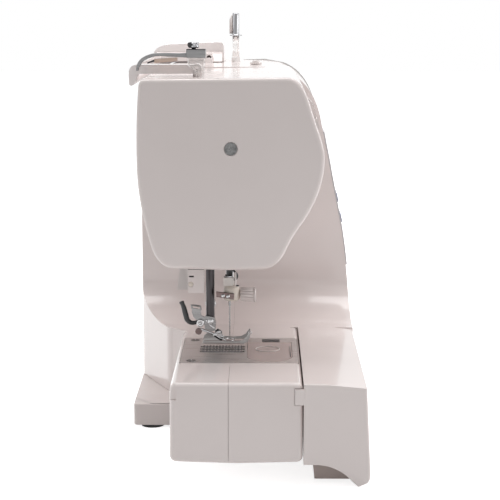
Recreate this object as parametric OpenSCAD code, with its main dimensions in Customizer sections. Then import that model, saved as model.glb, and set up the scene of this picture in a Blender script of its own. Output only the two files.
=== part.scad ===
// Computerised free-arm sewing machine with a drop-in rotary hook.
// +X runs along the machine from the face cover to the handwheel, -Y faces the user, +Z is up.
// The origin is on the table, under the middle of the machine.

/* [Body] */
// Length of the casing, from the free arm's end to the handwheel side
body_len = 405; // [395:1:415]
// Depth of the base, front to back
body_depth = 180.5; // [178:0.5:184]
// Height of the top cover's flat
body_top = 280.5; // [277:0.5:284]
// Wall of the moulded casings
wall = 2.6; // [2.2:0.1:3]
// Gap left at each parting line
seam = 0.3; // [0.2:0.05:0.4]
// Height of the sewing bed
bed_top = 73; // [72:0.5:74]
// Underside of the free arm
bed_low = 17; // [16:0.5:17.5]
// Free arm, front side
arm_front = -42.5; // [-43:0.1:-42.3]
// Strip of the bed behind the needle plate
bed_strip = 3.8; // [3.3:0.1:4.8]
// Height of the head's underside
head_low = 142.5; // [140:0.5:144]
// How far the head's rear sits in front of the column's
head_back = 12.35; // [11:0.05:14]
// How far the head's front sits behind the column's
head_set = 31.65; // [30:0.05:32.5]
// Distance from the free arm's end to the face cover
face_in = 58; // [56:0.5:59]
// Distance from the free arm's end to the column
throat_len = 239; // [236:1:242]
// Top of the base pan
plinth_top = 19.6; // [19:0.1:20.4]
// Height of the rubber feet
foot_h = 4; // [3.6:0.1:4.4]
// Radius of the rubber feet
foot_r = 9.2; // [8:0.1:10]

/* [Running gear] */
// Distance from the free arm's end to the needle
needle_in = 105.5; // [105:0.1:106]
// Needle, front to back
needle_y = 10.5; // [10:0.1:11]
// Distance from the needle back to the presser bar
presser_back = 14.75; // [14.5:0.05:15]
// Radius of the needle bar
needle_bar_r = 2.95; // [2.8:0.05:3.1]
// Radius of the presser bar
presser_bar_r = 3.25; // [3:0.05:3.4]
// Height of the upper shaft
shaft_z = 235; // [233:0.5:236]
// Radius of the upper shaft
shaft_r = 4; // [3.6:0.1:4.4]
// Radius of the lower shaft
lower_r = 3.5; // [3.2:0.1:3.8]
// Height of the lower shaft
lower_z = 31; // [30.5:0.1:31.5]
// Throw of the crank, half the needle stroke
crank_throw = 13; // [12.5:0.5:13.5]
// Length of the needle bar link between its eyes
link_len = 32; // [31.5:0.1:32.5]
// Running clearance between a shaft and its bore
fit = 0.05; // [0.03:0.01:0.08]
// Lift of the presser foot above the needle plate
foot_lift = 4.6; // [4:0.1:5]
// Radius of the pitch of the hook gears
gear_r = 9; // [8.6:0.1:9.2]

/* [Needle plate] */
// Length of the steel plate along the arm
plate_len = 79; // [78:0.5:79.5]
// Depth of the steel plate
plate_depth = 87; // [86:0.5:87.5]
// Thickness of the steel plate
plate_t = 2; // [1.6:0.1:2.2]
// Radius of the rotary hook
hook_r = 24.2; // [23.8:0.1:24.4]
// Radius of the bobbin
bobbin_r = 10.25; // [9.8:0.05:10.4]
// Height of the bobbin
bobbin_h = 11.7; // [11:0.1:11.9]

/* [Handwheel and top] */
// Radius of the handwheel
wheel_r = 31; // [28:0.5:33]
// How far the handwheel stands out of the casing
wheel_out = 17; // [15:0.5:18]
// Height of the bobbin winder spindle's tip
spindle_top = 324; // [320:0.5:328]
// Height of the raised block at the right of the top
hump_h = 17.6; // [16.6:0.2:18.6]
// Thickness of the carry handle's arms
handle_t = 6.5; // [6:0.1:7]
// Radius of the handle's hinge pins
hinge_r = 2; // [1.8:0.1:2.2]

/* [Extension table] */
// Length of the extension table
table_len = 180; // [178:0.5:182]
// Wall of the extension table
table_wall = 2.4; // [2.2:0.1:2.8]

/* [Hidden] */
$fn = 48;
eps = 0.01;

x_left = -(body_len + wheel_out) / 2;
x_right = x_left + body_len;
x_face = x_left + face_in;
x_col = x_left + throat_len;
x_needle = x_left + needle_in;
x_table = x_left + table_len;
x_plinth = x_left + 141;
x_bridge = x_col - 60;
y_front = -body_depth / 2;
y_rear = body_depth / 2 - 2.5;
head_rear = y_rear - head_back;
head_front = y_front + head_set;
y_part = 9.25;
plate_y0 = arm_front + 1.7;
arm_rear = plate_y0 + plate_depth + bed_strip;
y_presser = needle_y + presser_back;
hook_y = needle_y - hook_r - 1.2;
lower_y = hook_y + 2 * gear_r + seam;
face_t = 2.4;
rim = 3;

white = "#EFE7E5";
grey = "#8E8C8B";
steel = "#B9BABC";
black = "#26262A";

// ---- helpers ----

// Points of a curve from a to c that is drawn towards b, without a itself
function bend(a, b, c, n = 5) =
    [for (i = [1:n]) let (t = i / n) (1 - t) * (1 - t) * a + 2 * t * (1 - t) * b + t * t * c];

// A clockwise outline moved inwards by d
function inset(pts, d) = [for (i = [0:len(pts) - 1])
    let (
        a = pts[(i - 1 + len(pts)) % len(pts)],
        b = pts[i],
        c = pts[(i + 1) % len(pts)],
        u = (b - a) / norm(b - a),
        v = (c - b) / norm(c - b),
        nu = [u.y, -u.x],
        nv = [v.y, -v.x]
    ) b + d * (nu + nv) / (1 + nu * nv)];

// Extrudes a (Y, Z) outline along X
module along_x(x0, x1) translate([x0, 0, 0]) rotate([90, 0, 90]) linear_extrude(x1 - x0) children();

// Extrudes an (X, Z) outline along Y
module along_y(y0, y1) translate([0, y1, 0]) rotate([90, 0, 0]) linear_extrude(y1 - y0) children();

// Extrudes an (X, Y) outline along Z
module along_z(z0, z1) translate([0, 0, z0]) linear_extrude(z1 - z0) children();

module rod_x(x0, x1, r, y, z) along_x(x0, x1) translate([y, z]) circle(r);

module rod_y(y0, y1, r, x, z) along_y(y0, y1) translate([x, z]) circle(r);

module rod_z(z0, z1, r, x, y) along_z(z0, z1) translate([x, y]) circle(r);

// Box between two corners
module block(a, b) translate(a) cube(b - a);

// Rectangle between two corners, with round corners
module round_rect(a, b, r) {
    translate(a + [r, 0]) square([b.x - a.x - 2 * r, b.y - a.y]);
    translate(a + [0, r]) square([b.x - a.x, b.y - a.y - 2 * r]);
    for (x = [a.x + r, b.x - r], y = [a.y + r, b.y - r]) translate([x, y]) circle(r);
}

// ---- outlines of the body ----

head_pts = let (r = head_rear, f = head_front, lo = head_low, hi = body_top) concat(
    [[r - 2.8, hi - 9]],
    bend([r - 2.8, hi - 9], [r + 0.8, hi - 35], [r, hi - 66.5]),
    bend([r, hi - 66.5], [r - 0.8, lo + 47.5], [r - 8.9, lo + 19.5]),
    bend([r - 8.9, lo + 19.5], [r - 13.4, lo + 2], [r - 25.4, lo + 1.3]),
    [[f + 70, lo], [f + 44.6, lo + 0.7]],
    bend([f + 44.6, lo + 0.7], [f + 35.1, lo + 0.8], [f + 28.6, lo + 12.1]),
    bend([f + 28.6, lo + 12.1], [f + 24.1, lo + 23], [f + 16.6, lo + 33.1]),
    bend([f + 16.6, lo + 33.1], [f + 0.2, lo + 56.5], [f, lo + 80.7]),
    bend([f, lo + 80.7], [f, hi - 49], [f + 5.6, hi - 35]),
    [[f + 10.5, hi - 19.7]],
    bend([f + 10.5, hi - 19.7], [f + 16.1, hi], [f + 27, hi]),
    [[r - 12.4, hi - 1]],
    [for (p = bend([r - 12.4, hi - 1], [r - 3.6, hi - 1.2], [r - 2.8, hi - 9])) if (p.y > hi - 8.9) p]);

column_pts = let (r = y_rear, f = y_front, hi = body_top) concat(
    [[r - 26, hi]],
    bend([r - 26, hi], [r - 2, hi - 4], [r, hi - 60]),
    [[r, 3], [f + 0.4, 3], [f + 2.5, 60]],
    bend([f + 2.5, 60], [f + 2.9, 103], [f + 9.7, 144]),
    [[f + 28.5, hi - 40.5]],
    bend([f + 28.5, hi - 40.5], [f + 36, hi - 9.5], [f + 61, hi - 2]),
    [[f + 75, hi]]);

free_arm_pts = let (f = arm_front, r = arm_rear, lo = bed_low, hi = bed_top) concat(
    [[r - 5, hi]], bend([r - 5, hi], [r, hi], [r, hi - 5], 4),
    [[r, lo + 8]], bend([r, lo + 8], [r, lo + 1], [r - 9, lo + 0.5], 4),
    [[f + 46, lo], [f + 9, lo + 0.5]], bend([f + 9, lo + 0.5], [f, lo + 1], [f, lo + 8], 4),
    [[f, hi - 4]], bend([f, hi - 4], [f, hi], [f + 4, hi], 4));

base_plan = let (r = y_rear, f = y_front, k = 16) concat(
    [[x_col - 76, arm_rear - 6], [x_col - 61, r - 26], [x_col - 3, r], [x_right - k, r]],
    bend([x_right - k, r], [x_right, r], [x_right, r - k], 4),
    [[x_right, f + k]],
    bend([x_right, f + k], [x_right, f], [x_right - k, f], 4),
    [[x_table + seam, f], [x_table + seam, arm_front + 6], [x_col - 76, arm_front + 6]]);

// (X, Z) outline of the bed, the saddle and the column, w inside the surface
function side_pts(w) = let (a = 50, b = 29, hi = body_top) concat(
    [[x_left - 1, bed_top - w], [x_col - a, bed_top - w]],
    [for (t = [10:10:90]) [x_col - a + (a + w) * sin(t), bed_top + b - (b + w) * cos(t)]],
    [[x_col + w, hi - w], [x_right - w, hi - w], [x_right - w, bed_low], [x_left - 1, bed_low]]);

// The whole closed body, w inside its outer surface
module body(w) {
    along_x(x_left + w, x_bridge) polygon(inset(free_arm_pts, w));
    along_x(x_face + face_t + (w > 0 ? -5 : 0), x_right - w) polygon(inset(head_pts, w));
    intersection() {
        along_z(bed_low, body_top + 1) polygon(inset(base_plan, w));
        along_y(y_front, y_rear) polygon(side_pts(w));
        along_x(x_left, x_right) polygon(inset(column_pts, w));
    }
}

module shell() difference() {
    body(0);
    body(wall);
    block([x_plinth + wall, arm_front - 40, 0], [x_right + 1, y_rear + 1, plinth_top]);
    block([x_plinth - 0.5, arm_rear - 12, 0], [x_right + 1, y_rear + 1, plinth_top + seam]);
    block([x_table - 5, y_front - 1, 0], [x_right + 1, y_rear + 1, plinth_top + seam]);
    block([x_plinth - 0.5, arm_front - 1, 0], [x_table, y_rear + 1, plinth_top + seam]);
}

// Everything that opens through the casings
module casing_openings() {
    // needle plate
    along_z(bed_top - 6, bed_top + 1) round_rect([plate_x0 - seam, plate_y0 - seam],
        [plate_x0 + plate_len + seam, plate_y0 + plate_depth + seam], 3);
    // under the head
    block([x_needle - 38, y_presser - 31, head_low - 2], [x_needle + 27, y_presser + 26, head_low + 4]);
    // take-up slot and thread slot at the front of the head
    for (x = [take_up_x - 1.3, take_up_x + 16])
        block([x - 3.5, head_front - 2, head_low + 20], [x + 3.5, head_front + 30, body_top - 26]);
    // handwheel shaft
    rod_x(x_right - 6, x_right + 1, shaft_r + 4, needle_y, shaft_z);
    // power switch and inlet
    block([x_right - 6, switch_y - 9.3, switch_z - 7.3], [x_right + 1, switch_y + 9.3, switch_z + 7.3]);
    block([x_right - 6, switch_y - 11.3, inlet_z - 8.3], [x_right + 1, switch_y + 11.3, inlet_z + 8.3]);
    // feed drop lever at the back of the free arm
    block([drop_x - 14, arm_rear - 6, 41], [drop_x + 14, arm_rear + 1, 47]);
    // bobbin winder and spool pin
    rod_z(body_top - 8, body_top + 2, 4.4, winder_x, needle_y);
    rod_z(body_top - 8, body_top + 2, 3.3, spool_x, spool_y);
    // tension dial
    block([dial_x - 5.5, head_front - 4, dial_z - 17.6], [dial_x + 5.5, dial_y + 2, dial_z + 17.6]);
    // buttons of the head and of the panel
    rod_y(y_front, 0, 7.8, key_x, key_z);
    for (x = [key_x + 22, key_x + 42]) rod_y(y_front, 0, 6.8, x, key_z);
    for (i = [0:5]) rod_y(y_front - 1, -40, 4.3, button_x(i), button_z(i));
    // stem of the speed slider
    block([slider_x - 22, head_front - 6, slider_z - 1.4],
        [slider_x + 22, head_front + 20, slider_z + 1.4]);
}

plate_x0 = x_left + 62.7;
take_up_x = x_needle - 15.2;
switch_y = y_rear - 42.75;
switch_z = 78;
inlet_z = 52;
drop_x = x_needle;
winder_x = x_left + 350;
spool_x = winder_x - 60;
spool_y = -8;

module front_casing() color(white) {
    difference() {
        intersection() {
            shell();
            block([x_left - 1, y_front - 1, 0], [x_right + 1, y_part - seam / 2, body_top + 1]);
        }
        casing_openings();
        // socket for the hook of the extension table
        block([x_left - 1, arm_front - 1, 57], [x_left + 3, arm_front + 6.2, 69.6]);
        // holes behind the control panel
        for (x = [panel_x0 + 16, panel_x1 - 16]) rod_y(y_front, 0, 2, x, 130);
        block([window_x0 + 2, y_front, window_z0 + 2], [window_x1 - 2, -50, window_z1 - 2]);
    }
    // ribs that stiffen the front wall behind the board
    intersection() {
        body(wall - 0.2);
        for (x = [board_x0 + 6, board_x1 - 10], z = [board_z0 + 6, board_z1 - 8])
            rod_y(y_front, board_y - 1.6, 3, x, z);
    }
    // axle of the tension dial between two lugs
    intersection() {
        body(wall - 0.2);
        for (s = [-1, 1]) block([dial_x + s * 7.4 - 1.5, head_front, dial_z - 5],
            [dial_x + s * 7.4 + 1.5, dial_y + 4.5, dial_z + 5]);
    }
    rod_x(dial_x - 7, dial_x + 7, 3, dial_y, dial_z);
}

module rear_casing() color(white) {
    difference() {
        intersection() {
            shell();
            block([x_left - 1, y_part + seam / 2, 0], [x_right + 1, y_rear + 1, body_top + 1]);
        }
        casing_openings();
        // small notch in the free arm's end
        block([x_left - 1, arm_rear - 8, 62], [x_left + 2, arm_rear - 4, 68.5]);
        // way for the presser lifter
        block([lifter_x - 6, y_presser + 20, head_low - 2], [lifter_x + 6, head_rear - 14, head_low + 26]);
    }
    // ears and hinge pins of the carry handle
    for (s = [-1, 1]) let (x = s < 0 ? handle_x0 + 16.3 : handle_x1 - 16.3) {
        block([x - 2, handle_y - 3.5, body_top - 1.5], [x + 2, handle_y + 3.5, handle_z]);
        rod_x(x - 2, x + 2, 3.5, handle_y, handle_z);
        rod_x(min(x, x + s * 15), max(x, x + s * 15), hinge_r, handle_y, handle_z);
    }
}

lifter_x = x_needle + 18;
panel_x0 = x_col + 12;
panel_x1 = x_right - 14;
panel_z0 = 112;
panel_z1 = 226;
window_x0 = panel_x0 + 42;
window_x1 = panel_x0 + 88;
window_z0 = 184;
window_z1 = 212;
board_x0 = x_col + 20;
board_x1 = x_right - 34;
board_z0 = 96;
board_z1 = 206;
board_y = y_front + 30.25;

module face_cover() color(white) difference() {
    union() {
        difference() {
            along_x(x_face, x_face + face_t + 4) polygon(inset(head_pts, rim));
            along_x(x_face + face_t, x_face + face_t + 5) polygon(inset(head_pts, rim + 1.6));
        }
        // screw boss
        rod_x(x_face + 1, x_face + 16, 6, cover_screw_y, cover_screw_z);
    }
    rod_x(x_face - 1, x_face + 1.4, 5, cover_screw_y, cover_screw_z);
    rod_x(x_face - 1, x_face + 17, 2.05, cover_screw_y, cover_screw_z);
}

cover_screw_y = 8.35;
cover_screw_z = body_top - 50.2;

// Cross-head screw of the face cover
module face_screw() difference() {
    union() {
        rod_x(x_face + 0.2, x_face + 1.4, 4.5, cover_screw_y, cover_screw_z);
        rod_x(x_face + 1.4, x_face + 23, 2, cover_screw_y, cover_screw_z);
    }
    for (a = [[2.6, 0.5], [0.5, 2.6]])
        block([x_face - 1, cover_screw_y - a.x, cover_screw_z - a.y],
            [x_face + 0.9, cover_screw_y + a.x, cover_screw_z + a.y]);
}

pan_plan = let (r = y_rear, f = y_front, k = 16) concat(
    [[x_plinth, r - 14], [x_plinth + 14, r], [x_right - k, r]],
    bend([x_right - k, r], [x_right, r], [x_right, r - k], 4),
    [[x_right, f + k]],
    bend([x_right, f + k], [x_right, f], [x_right - k, f], 4),
    [[x_table + seam, f], [x_table + seam, arm_front], [x_plinth, arm_front]]);

module base_pan() color(white) difference() {
    along_z(foot_h, plinth_top) polygon(pan_plan);
    // hollow under the casing
    difference() {
        along_z(foot_h + wall, plinth_top + 1) polygon(inset(pan_plan, wall));
        // deck of the heel that stands out behind the arm
        along_z(plinth_top - wall, plinth_top + 2) polygon([
            [x_plinth - 1, arm_rear - wall], [x_col - 76, arm_rear - wall],
            [x_col - 61 + wall, y_rear - 26 - wall], [x_col - 3, y_rear - wall],
            [x_col, y_rear + 1], [x_plinth - 1, y_rear + 1]]);
    }
    // ventilation slots
    for (x = [x_col + 30:9:x_col + 111]) block([x, 30, foot_h - 1], [x + 4, 70, foot_h + wall + 1]);
}

feet_at = [[x_left + 150, y_rear - 14.5], [x_right - 18, y_rear - 16], [x_right - 18, y_front + 17],
    [x_table + 20, y_front + 17]];

module rubber_feet() color(black) for (p = feet_at) {
    rod_z(0, foot_h, foot_r, p.x, p.y);
}

// ---- extension table ----

table_pts = let (f = y_front, r = arm_front - 0.8, hi = bed_top) concat(
    [[r, hi], [f + 5.5, hi - 0.8]], bend([f + 5.5, hi - 0.8], [f + 3.6, hi - 0.9], [f + 3.4, hi - 3], 3),
    [[f + 0.4, 9.2]], bend([f + 0.4, 9.2], [f + 0.5, 0.6], [f + 9.5, 0.6], 4),
    bend([f + 9.5, 0.6], [f + 17, 0.8], [f + 24, 11]),
    bend([f + 24, 11], [f + 29, 17], [r - 7, bed_low]),
    [[r, bed_low]]);

// the outline turned round, so that it runs clockwise

module extension_table() color(white) {
    difference() {
        along_x(x_left, x_table) polygon(table_pts);
        along_x(x_left + table_wall, x_table - table_wall) polygon([
            [arm_front - 0.8 - table_wall, bed_top - table_wall],
            [y_front + 3.2 + table_wall, bed_top - table_wall - 0.9],
            [y_front + 0.6 + table_wall, -1], [arm_front - 0.8 - table_wall, -1]]);
    }
    // hook that holds the table to the free arm
    block([x_left, arm_front - 1, 58], [x_left + 2.2, arm_front + 5.5, 69]);
}

tray_y0 = y_front + 3.2 + table_wall + 0.8;
tray_y1 = arm_front - 0.8 - table_wall - seam;

module accessory_tray() color("#CFC4C0") difference() {
    along_x(x_left + table_wall + seam, x_table - table_wall - seam) polygon([
        [tray_y0, 52], [tray_y0 - 0.5, 47], [tray_y0 + 8, 3],
        [tray_y1 - 5, 3], [tray_y1, 49], [tray_y1, 52]]);
    along_x(x_left + table_wall + seam + 9, x_table - table_wall - 8) polygon([
        [tray_y0 + 2, 53], [tray_y0 + 2, 47], [tray_y0 + 10, 5], [tray_y1 - 7, 5], [tray_y1 - 2, 49],
        [tray_y1 - 2, 53]]);
    // step under the end wall, behind the arch
    block([x_left, tray_y0 - 2, 0], [x_left + table_wall + seam + 7, tray_y1 + 1, 30]);
}

// ---- needle plate ----

slot_x = [x_needle - 7.5, x_needle, x_needle + 7.5];
slot_w = 3.4;
dog_y0 = hook_y + 16.2;
dog_y1 = plate_y0 + plate_depth - 15.2;
cover_x0 = x_needle - 24;
cover_x1 = x_needle + 23;
cover_y0 = arm_front + 6;
cover_y1 = hook_y + 12;
latch_x1 = x_needle + 32.5;
latch_y = hook_y - 12.2;

module cover_outline(gap) {
    translate([cover_x0 - gap, cover_y0 - gap])
        square([cover_x1 - cover_x0 + 2 * gap, cover_y1 - cover_y0 + 2 * gap]);
    translate([cover_x0 + 2, (cover_y0 + cover_y1) / 2]) circle((cover_y1 - cover_y0) / 2 + gap);
}

module needle_plate() color(steel) difference() {
    along_z(bed_top - plate_t, bed_top) difference() {
        round_rect([plate_x0, plate_y0], [plate_x0 + plate_len, plate_y0 + plate_depth], 2.7);
        cover_outline(seam);
        // latch slot
        translate([cover_x1, latch_y - 0.4]) square([latch_x1 - cover_x1, 13.6]);
        // feed dog slots
        for (x = slot_x) translate([x - slot_w / 2 - 0.6, dog_y0 - 2.2])
            square([slot_w + 1.2, dog_y1 - dog_y0 + 4.4]);
        // needle slot
        translate([x_needle - 3.5, needle_y - 0.9]) square([7, 1.8]);
        for (p = plate_screw_at) translate(p) circle(1.7);
    }
    for (p = plate_screw_at) translate([p.x, p.y, bed_top - 1]) rod_z(0, 2, 3.6, 0, 0);
}

plate_screw_at = [[plate_x0 + 7, plate_y0 + plate_depth - 8],
    [plate_x0 + plate_len - 7, plate_y0 + plate_depth - 8]];

module cover_screws() color("#DADADC") {
    face_screw();
    for (p = plate_screw_at) difference() {
        union() {
            rod_z(bed_top - 1, bed_top + 0.2, 3.3, p.x, p.y);
            rod_z(bed_top - 7, bed_top - 1, 1.5, p.x, p.y);
        }
        block([p.x - 4, p.y - 0.4, bed_top - 0.4], [p.x + 4, p.y + 0.4, bed_top + 1]);
    }
}

module bobbin_cover() color("#E3D6D3", 0.6) {
    along_z(bed_top - 1.8, bed_top) cover_outline(0);
    // lip that hooks under the plate
    block([cover_x0 + 4, cover_y0 + 1, bed_top - 3.4], [cover_x0 + 30, cover_y0 + 3, bed_top - 1.7]);
}

module cover_latch() color(black) {
    along_z(bed_top - 1.8, bed_top + 0.2) translate([cover_x1 + 0.6, latch_y]) square([6.4, 12.8]);
    block([cover_x1 + 2.4, latch_y + 2.6, bed_top - 5], [cover_x1 + 5, latch_y + 10.6, bed_top - 1.7]);
}

// ---- feed ----

dog_rise = 0.9;
dog_z = bed_top + dog_rise;
dog_base = bed_top - plate_t - 4.5;

module feed_dogs() color(steel) difference() {
    union() {
        block([x_needle - 10, dog_y0, dog_base], [x_needle + 10, dog_y1, dog_base + 2.2]);
        for (x = slot_x) difference() {
            block([x - slot_w / 2, dog_y0, dog_base + 1], [x + slot_w / 2, dog_y1, dog_z]);
            for (i = [0:12]) translate([x, dog_y0 + 1.4 + i * 2.4, dog_z]) rotate([45, 0, 0])
                cube([slot_w + 1, 1.1, 1.1], center = true);
        }
    }
    // way for the needle
    block([x_needle - 5, needle_y - 3, dog_base - 1], [x_needle + 5, needle_y + 3, dog_z + 1]);
}

module feed_bar() color(grey) {
    // cranked bar that carries the feed dogs
    block([x_needle - 8, dog_y1 - 6, dog_base - 3.4], [x_needle + 8, dog_y1 + 6, dog_base - 0.3]);
    block([x_needle - 8, dog_y1 + 1, 46], [x_needle + 8, dog_y1 + 6, dog_base - 3]);
    block([x_needle - 27 + seam, dog_y1 - 1, 44], [x_needle + 27 - seam, dog_y1 + 7, 52]);
}

module drop_feed_lever() color(black) {
    block([drop_x - 12, arm_rear - 5, 41.6], [drop_x - 4, arm_rear + 3, 46.4]);
    block([drop_x - 15, arm_rear - 9.2, 39], [drop_x - 1, arm_rear - wall - 0.3, 49]);
}

// ---- hook ----

hook_low = 46;
hook_rim = 60;

module rotary_hook() color(steel) translate([x_needle, hook_y, 0]) {
    difference() {
        rod_z(hook_low, hook_rim, hook_r, 0, 0);
        rod_z(hook_low + 2.6, hook_rim + 1, 15.4, 0, 0);
        // flat and beak that catch the thread
        rotate(40) block([hook_r - 4, -5, hook_low + 5], [hook_r + 1, 16, hook_low + 10]);
        for (a = [0:60:300]) rotate(a + 15) rod_z(hook_low - 1, hook_low + 4, 2.4, 10, 0);
    }
    difference() {
        rod_z(lower_z - 9, hook_low + 1, 3.5, 0, 0);
    }
    difference() {
        rod_z(lower_z - 5, lower_z + 5, gear_r - seam / 2, 0, 0);
        for (i = [0:17]) rotate(i * 20) translate([gear_r, 0, lower_z]) rotate([20, 0, 0])
            cube([2.4, 1.4, 14], center = true);
    }
}

case_low = hook_low + 2.9;
case_top = bed_top - 4.6;

module bobbin_case() color("#3A3A3E") translate([x_needle, hook_y, 0]) difference() {
    union() {
        rod_z(case_low, case_top, 12.9, 0, 0);
        rod_z(case_top - 3, case_top, 14.2, 0, 0);
        block([-5, -19, case_top - 3], [5, -10, case_top]);
    }
    rod_z(case_low + 1.8, case_top + 1, 11.2, 0, 0);
    rod_z(case_low - 1, case_low + 3, 4, 0, 0);
}

bobbin_low = case_low + 2;

module bobbin() color("#E8E4E2", 0.7) translate([x_needle, hook_y, 0]) difference() {
    union() {
        rod_z(bobbin_low, bobbin_low + 1, bobbin_r, 0, 0);
        rod_z(bobbin_low + bobbin_h - 1, bobbin_low + bobbin_h, bobbin_r, 0, 0);
        rod_z(bobbin_low, bobbin_low + bobbin_h, 5.2, 0, 0);
    }
    rod_z(bobbin_low - 1, bobbin_low + bobbin_h + 1, 3.05, 0, 0);
    for (a = [0:60:300]) rotate(a) {
        rod_z(bobbin_low - 1, bobbin_low + 1.5, 1, 7.7, 0);
        rod_z(bobbin_low + bobbin_h - 1.5, bobbin_low + bobbin_h + 1, 1, 7.7, 0);
    }
}

// ---- shafts and drive ----

belt_x = x_col + 122;
pulley_r = 15;
drive_x = belt_x + 18;
motor_y = needle_y + 37.5;
motor_z = 62;
motor_r = 23;
motor_pulley_r = 8;
drive_r = 30;

module toothed_wheel(x0, x1, r, n, y, z) translate([x0, y, z]) rotate([90, 0, 90]) linear_extrude(x1 - x0)
    difference() {
        circle(r);
        for (i = [0:n - 1]) rotate(i * 360 / n) translate([r, 0])
            square([1.6, r * PI / n * 0.9], center = true);
    }

module lower_shaft() color(steel) {
    rod_x(x_needle - 14, belt_x + 12, lower_r, lower_y, lower_z);
    // skew gear that drives the hook
    difference() {
        rod_x(x_needle - 6, x_needle + 6, gear_r - seam / 2, lower_y, lower_z);
        for (i = [0:17]) translate([x_needle, lower_y, lower_z]) rotate([i * 20, 0, 0])
            translate([0, 0, gear_r]) rotate([0, 0, 20]) cube([16, 1.4, 2.4], center = true);
    }
    toothed_wheel(belt_x, belt_x + 9, pulley_r, 24, lower_y, lower_z);
    for (x = [belt_x - 1, belt_x + 9]) rod_x(x, x + 1, pulley_r + 2, lower_y, lower_z);
}

// Loop of belt round two pulleys, as a flat band
module belt(x0, x1, r0, y0, z0, r1, y1, z1, t) {
    d = [y1 - y0, z1 - z0];
    l = norm(d);
    a = atan2(d.y, d.x);
    b = asin((r1 - r0) / l);
    translate([x0, y0, z0]) rotate([90, 0, 90]) rotate(a) linear_extrude(x1 - x0) difference() {
        polygon(belt_loop(r0 + t, r1 + t, l, b));
        polygon(belt_loop(r0, r1, l, b));
    }
}
// two arcs joined by their tangents
function belt_loop(r0, r1, l, b, n = 36) = concat(
    [for (i = [0:n]) let (a = 90 + b + (180 - 2 * b) * i / n) r0 * [cos(a), sin(a)]],
    [for (i = [0:n]) let (a = (90 + b) * (2 * i / n - 1)) [l + r1 * cos(a), r1 * sin(a)]]
);

module timing_belt() color(black)
    belt(belt_x + 0.5, belt_x + 8.5, pulley_r + 0.3, lower_y, lower_z,
        pulley_r + 0.3, needle_y, shaft_z, 1.2);

crank_x = x_needle + 11.5;

module upper_shaft() color(steel) {
    rod_x(crank_x + 4, x_right + 2, shaft_r, needle_y, shaft_z);
    // crank disc with its pin and counterweight
    difference() {
        rod_x(crank_x, crank_x + 6, 20, needle_y, shaft_z);
        rod_x(crank_x - 1, crank_x + 7, 3.5, needle_y - 9, shaft_z + 6);
        rod_x(crank_x - 1, crank_x + 7, 3.5, needle_y + 9, shaft_z + 6);
    }
    rod_x(crank_x - 1.2, crank_x + 1, 3, needle_y, shaft_z + crank_throw);
    toothed_wheel(belt_x, belt_x + 9, pulley_r, 24, needle_y, shaft_z);
    for (x = [belt_x - 1, belt_x + 9]) rod_x(x, x + 1, pulley_r + 2, needle_y, shaft_z);
    difference() {
        rod_x(drive_x, drive_x + 9, drive_r, needle_y, shaft_z);
        rod_x(drive_x - 1, drive_x + 2, drive_r - 4, needle_y, shaft_z);
        for (a = [0:60:300]) translate([drive_x, needle_y, shaft_z]) rotate([a, 0, 0])
            rod_x(-1, 12, 5, 17, 0);
    }
    rod_x(drive_x, drive_x + 9, 8, needle_y, shaft_z);
}

module handwheel() color(white) difference() {
    union() {
        translate([x_right + 0.8, needle_y, shaft_z]) rotate([0, 90, 0]) rotate_extrude() polygon(concat(
            [[shaft_r + 0.02, 0], [wheel_r - 3, 0]],
            bend([wheel_r - 3, 0], [wheel_r, 0], [wheel_r, 3], 3),
            [[wheel_r - 1, wheel_out - 5]],
            bend([wheel_r - 1, wheel_out - 5], [wheel_r - 1.5, wheel_out - 0.8],
                [wheel_r - 6, wheel_out - 0.8], 4),
            [[wheel_r - 12, wheel_out - 3], [0, wheel_out - 2.4], [0, 3], [shaft_r + 0.02, 3]]));
    }
    for (i = [0:23]) translate([x_right, needle_y, shaft_z]) rotate([i * 15, 0, 0])
        rod_x(2, 14, 1.6, wheel_r + 0.7, 0);
}

bush_at = [x_col - 80, x_col + 98];

module shaft_bushings() color("#B08D57") for (x = bush_at) difference() {
    union() {
        rod_x(x, x + 10, 7, needle_y, shaft_z);
        rod_x(x - 1.5, x, 8.5, needle_y, shaft_z);
    }
    rod_x(x - 3, x + 11, shaft_r + fit, needle_y, shaft_z);
}

// ---- needle bar ----

link_x = crank_x - 1.9;
stud_z = shaft_z + crank_throw - link_len;
bar_low = head_low - 24;
bar_len = 146;

module needle_bar_link() color(steel) {
    along_x(link_x - 3.7, link_x) difference() {
        union() {
            translate([needle_y, shaft_z + crank_throw]) circle(5.5);
            translate([needle_y, stud_z]) circle(5.5);
            translate([needle_y - 3, stud_z]) square([6, link_len]);
        }
        translate([needle_y, stud_z]) circle(2.5 + fit);
    }
}

module needle_bar() color("#D5D6D8") {
    rod_z(bar_low, bar_low + bar_len, needle_bar_r, x_needle, needle_y);
    // clamp block with the stud for the link
    difference() {
        block([x_needle - 5, needle_y - 5.5, stud_z - 4.5], [link_x - 4.2, needle_y + 5.5, stud_z + 4.5]);
        rod_z(stud_z - 5, stud_z + 5, needle_bar_r - 0.1, x_needle, needle_y);
    }
    rod_x(link_x - 4.5, link_x, 2.5, needle_y, stud_z);
}

frame_x = x_needle - 12;

module needle_bar_frame() color(grey) difference() {
    union() {
        block([frame_x, needle_y - 6, head_low + 5.5], [frame_x + 4.2, needle_y + 6, shaft_z + 10]);
        block([frame_x, needle_y - 5.5, head_low + 5.5], [x_needle + 5, needle_y + 5.5, head_low + 15]);
        block([frame_x, needle_y - 5.5, shaft_z - 9], [x_needle + 5, needle_y + 5.5, shaft_z + 1]);
    }
    rod_z(head_low, shaft_z + 5, needle_bar_r + fit, x_needle, needle_y);
    rod_y(needle_y - 7, needle_y + 7, 3 + fit, frame_x + 2.1 - 6, shaft_z + 6);
}

clamp_z = bar_low - 7.5;

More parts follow.
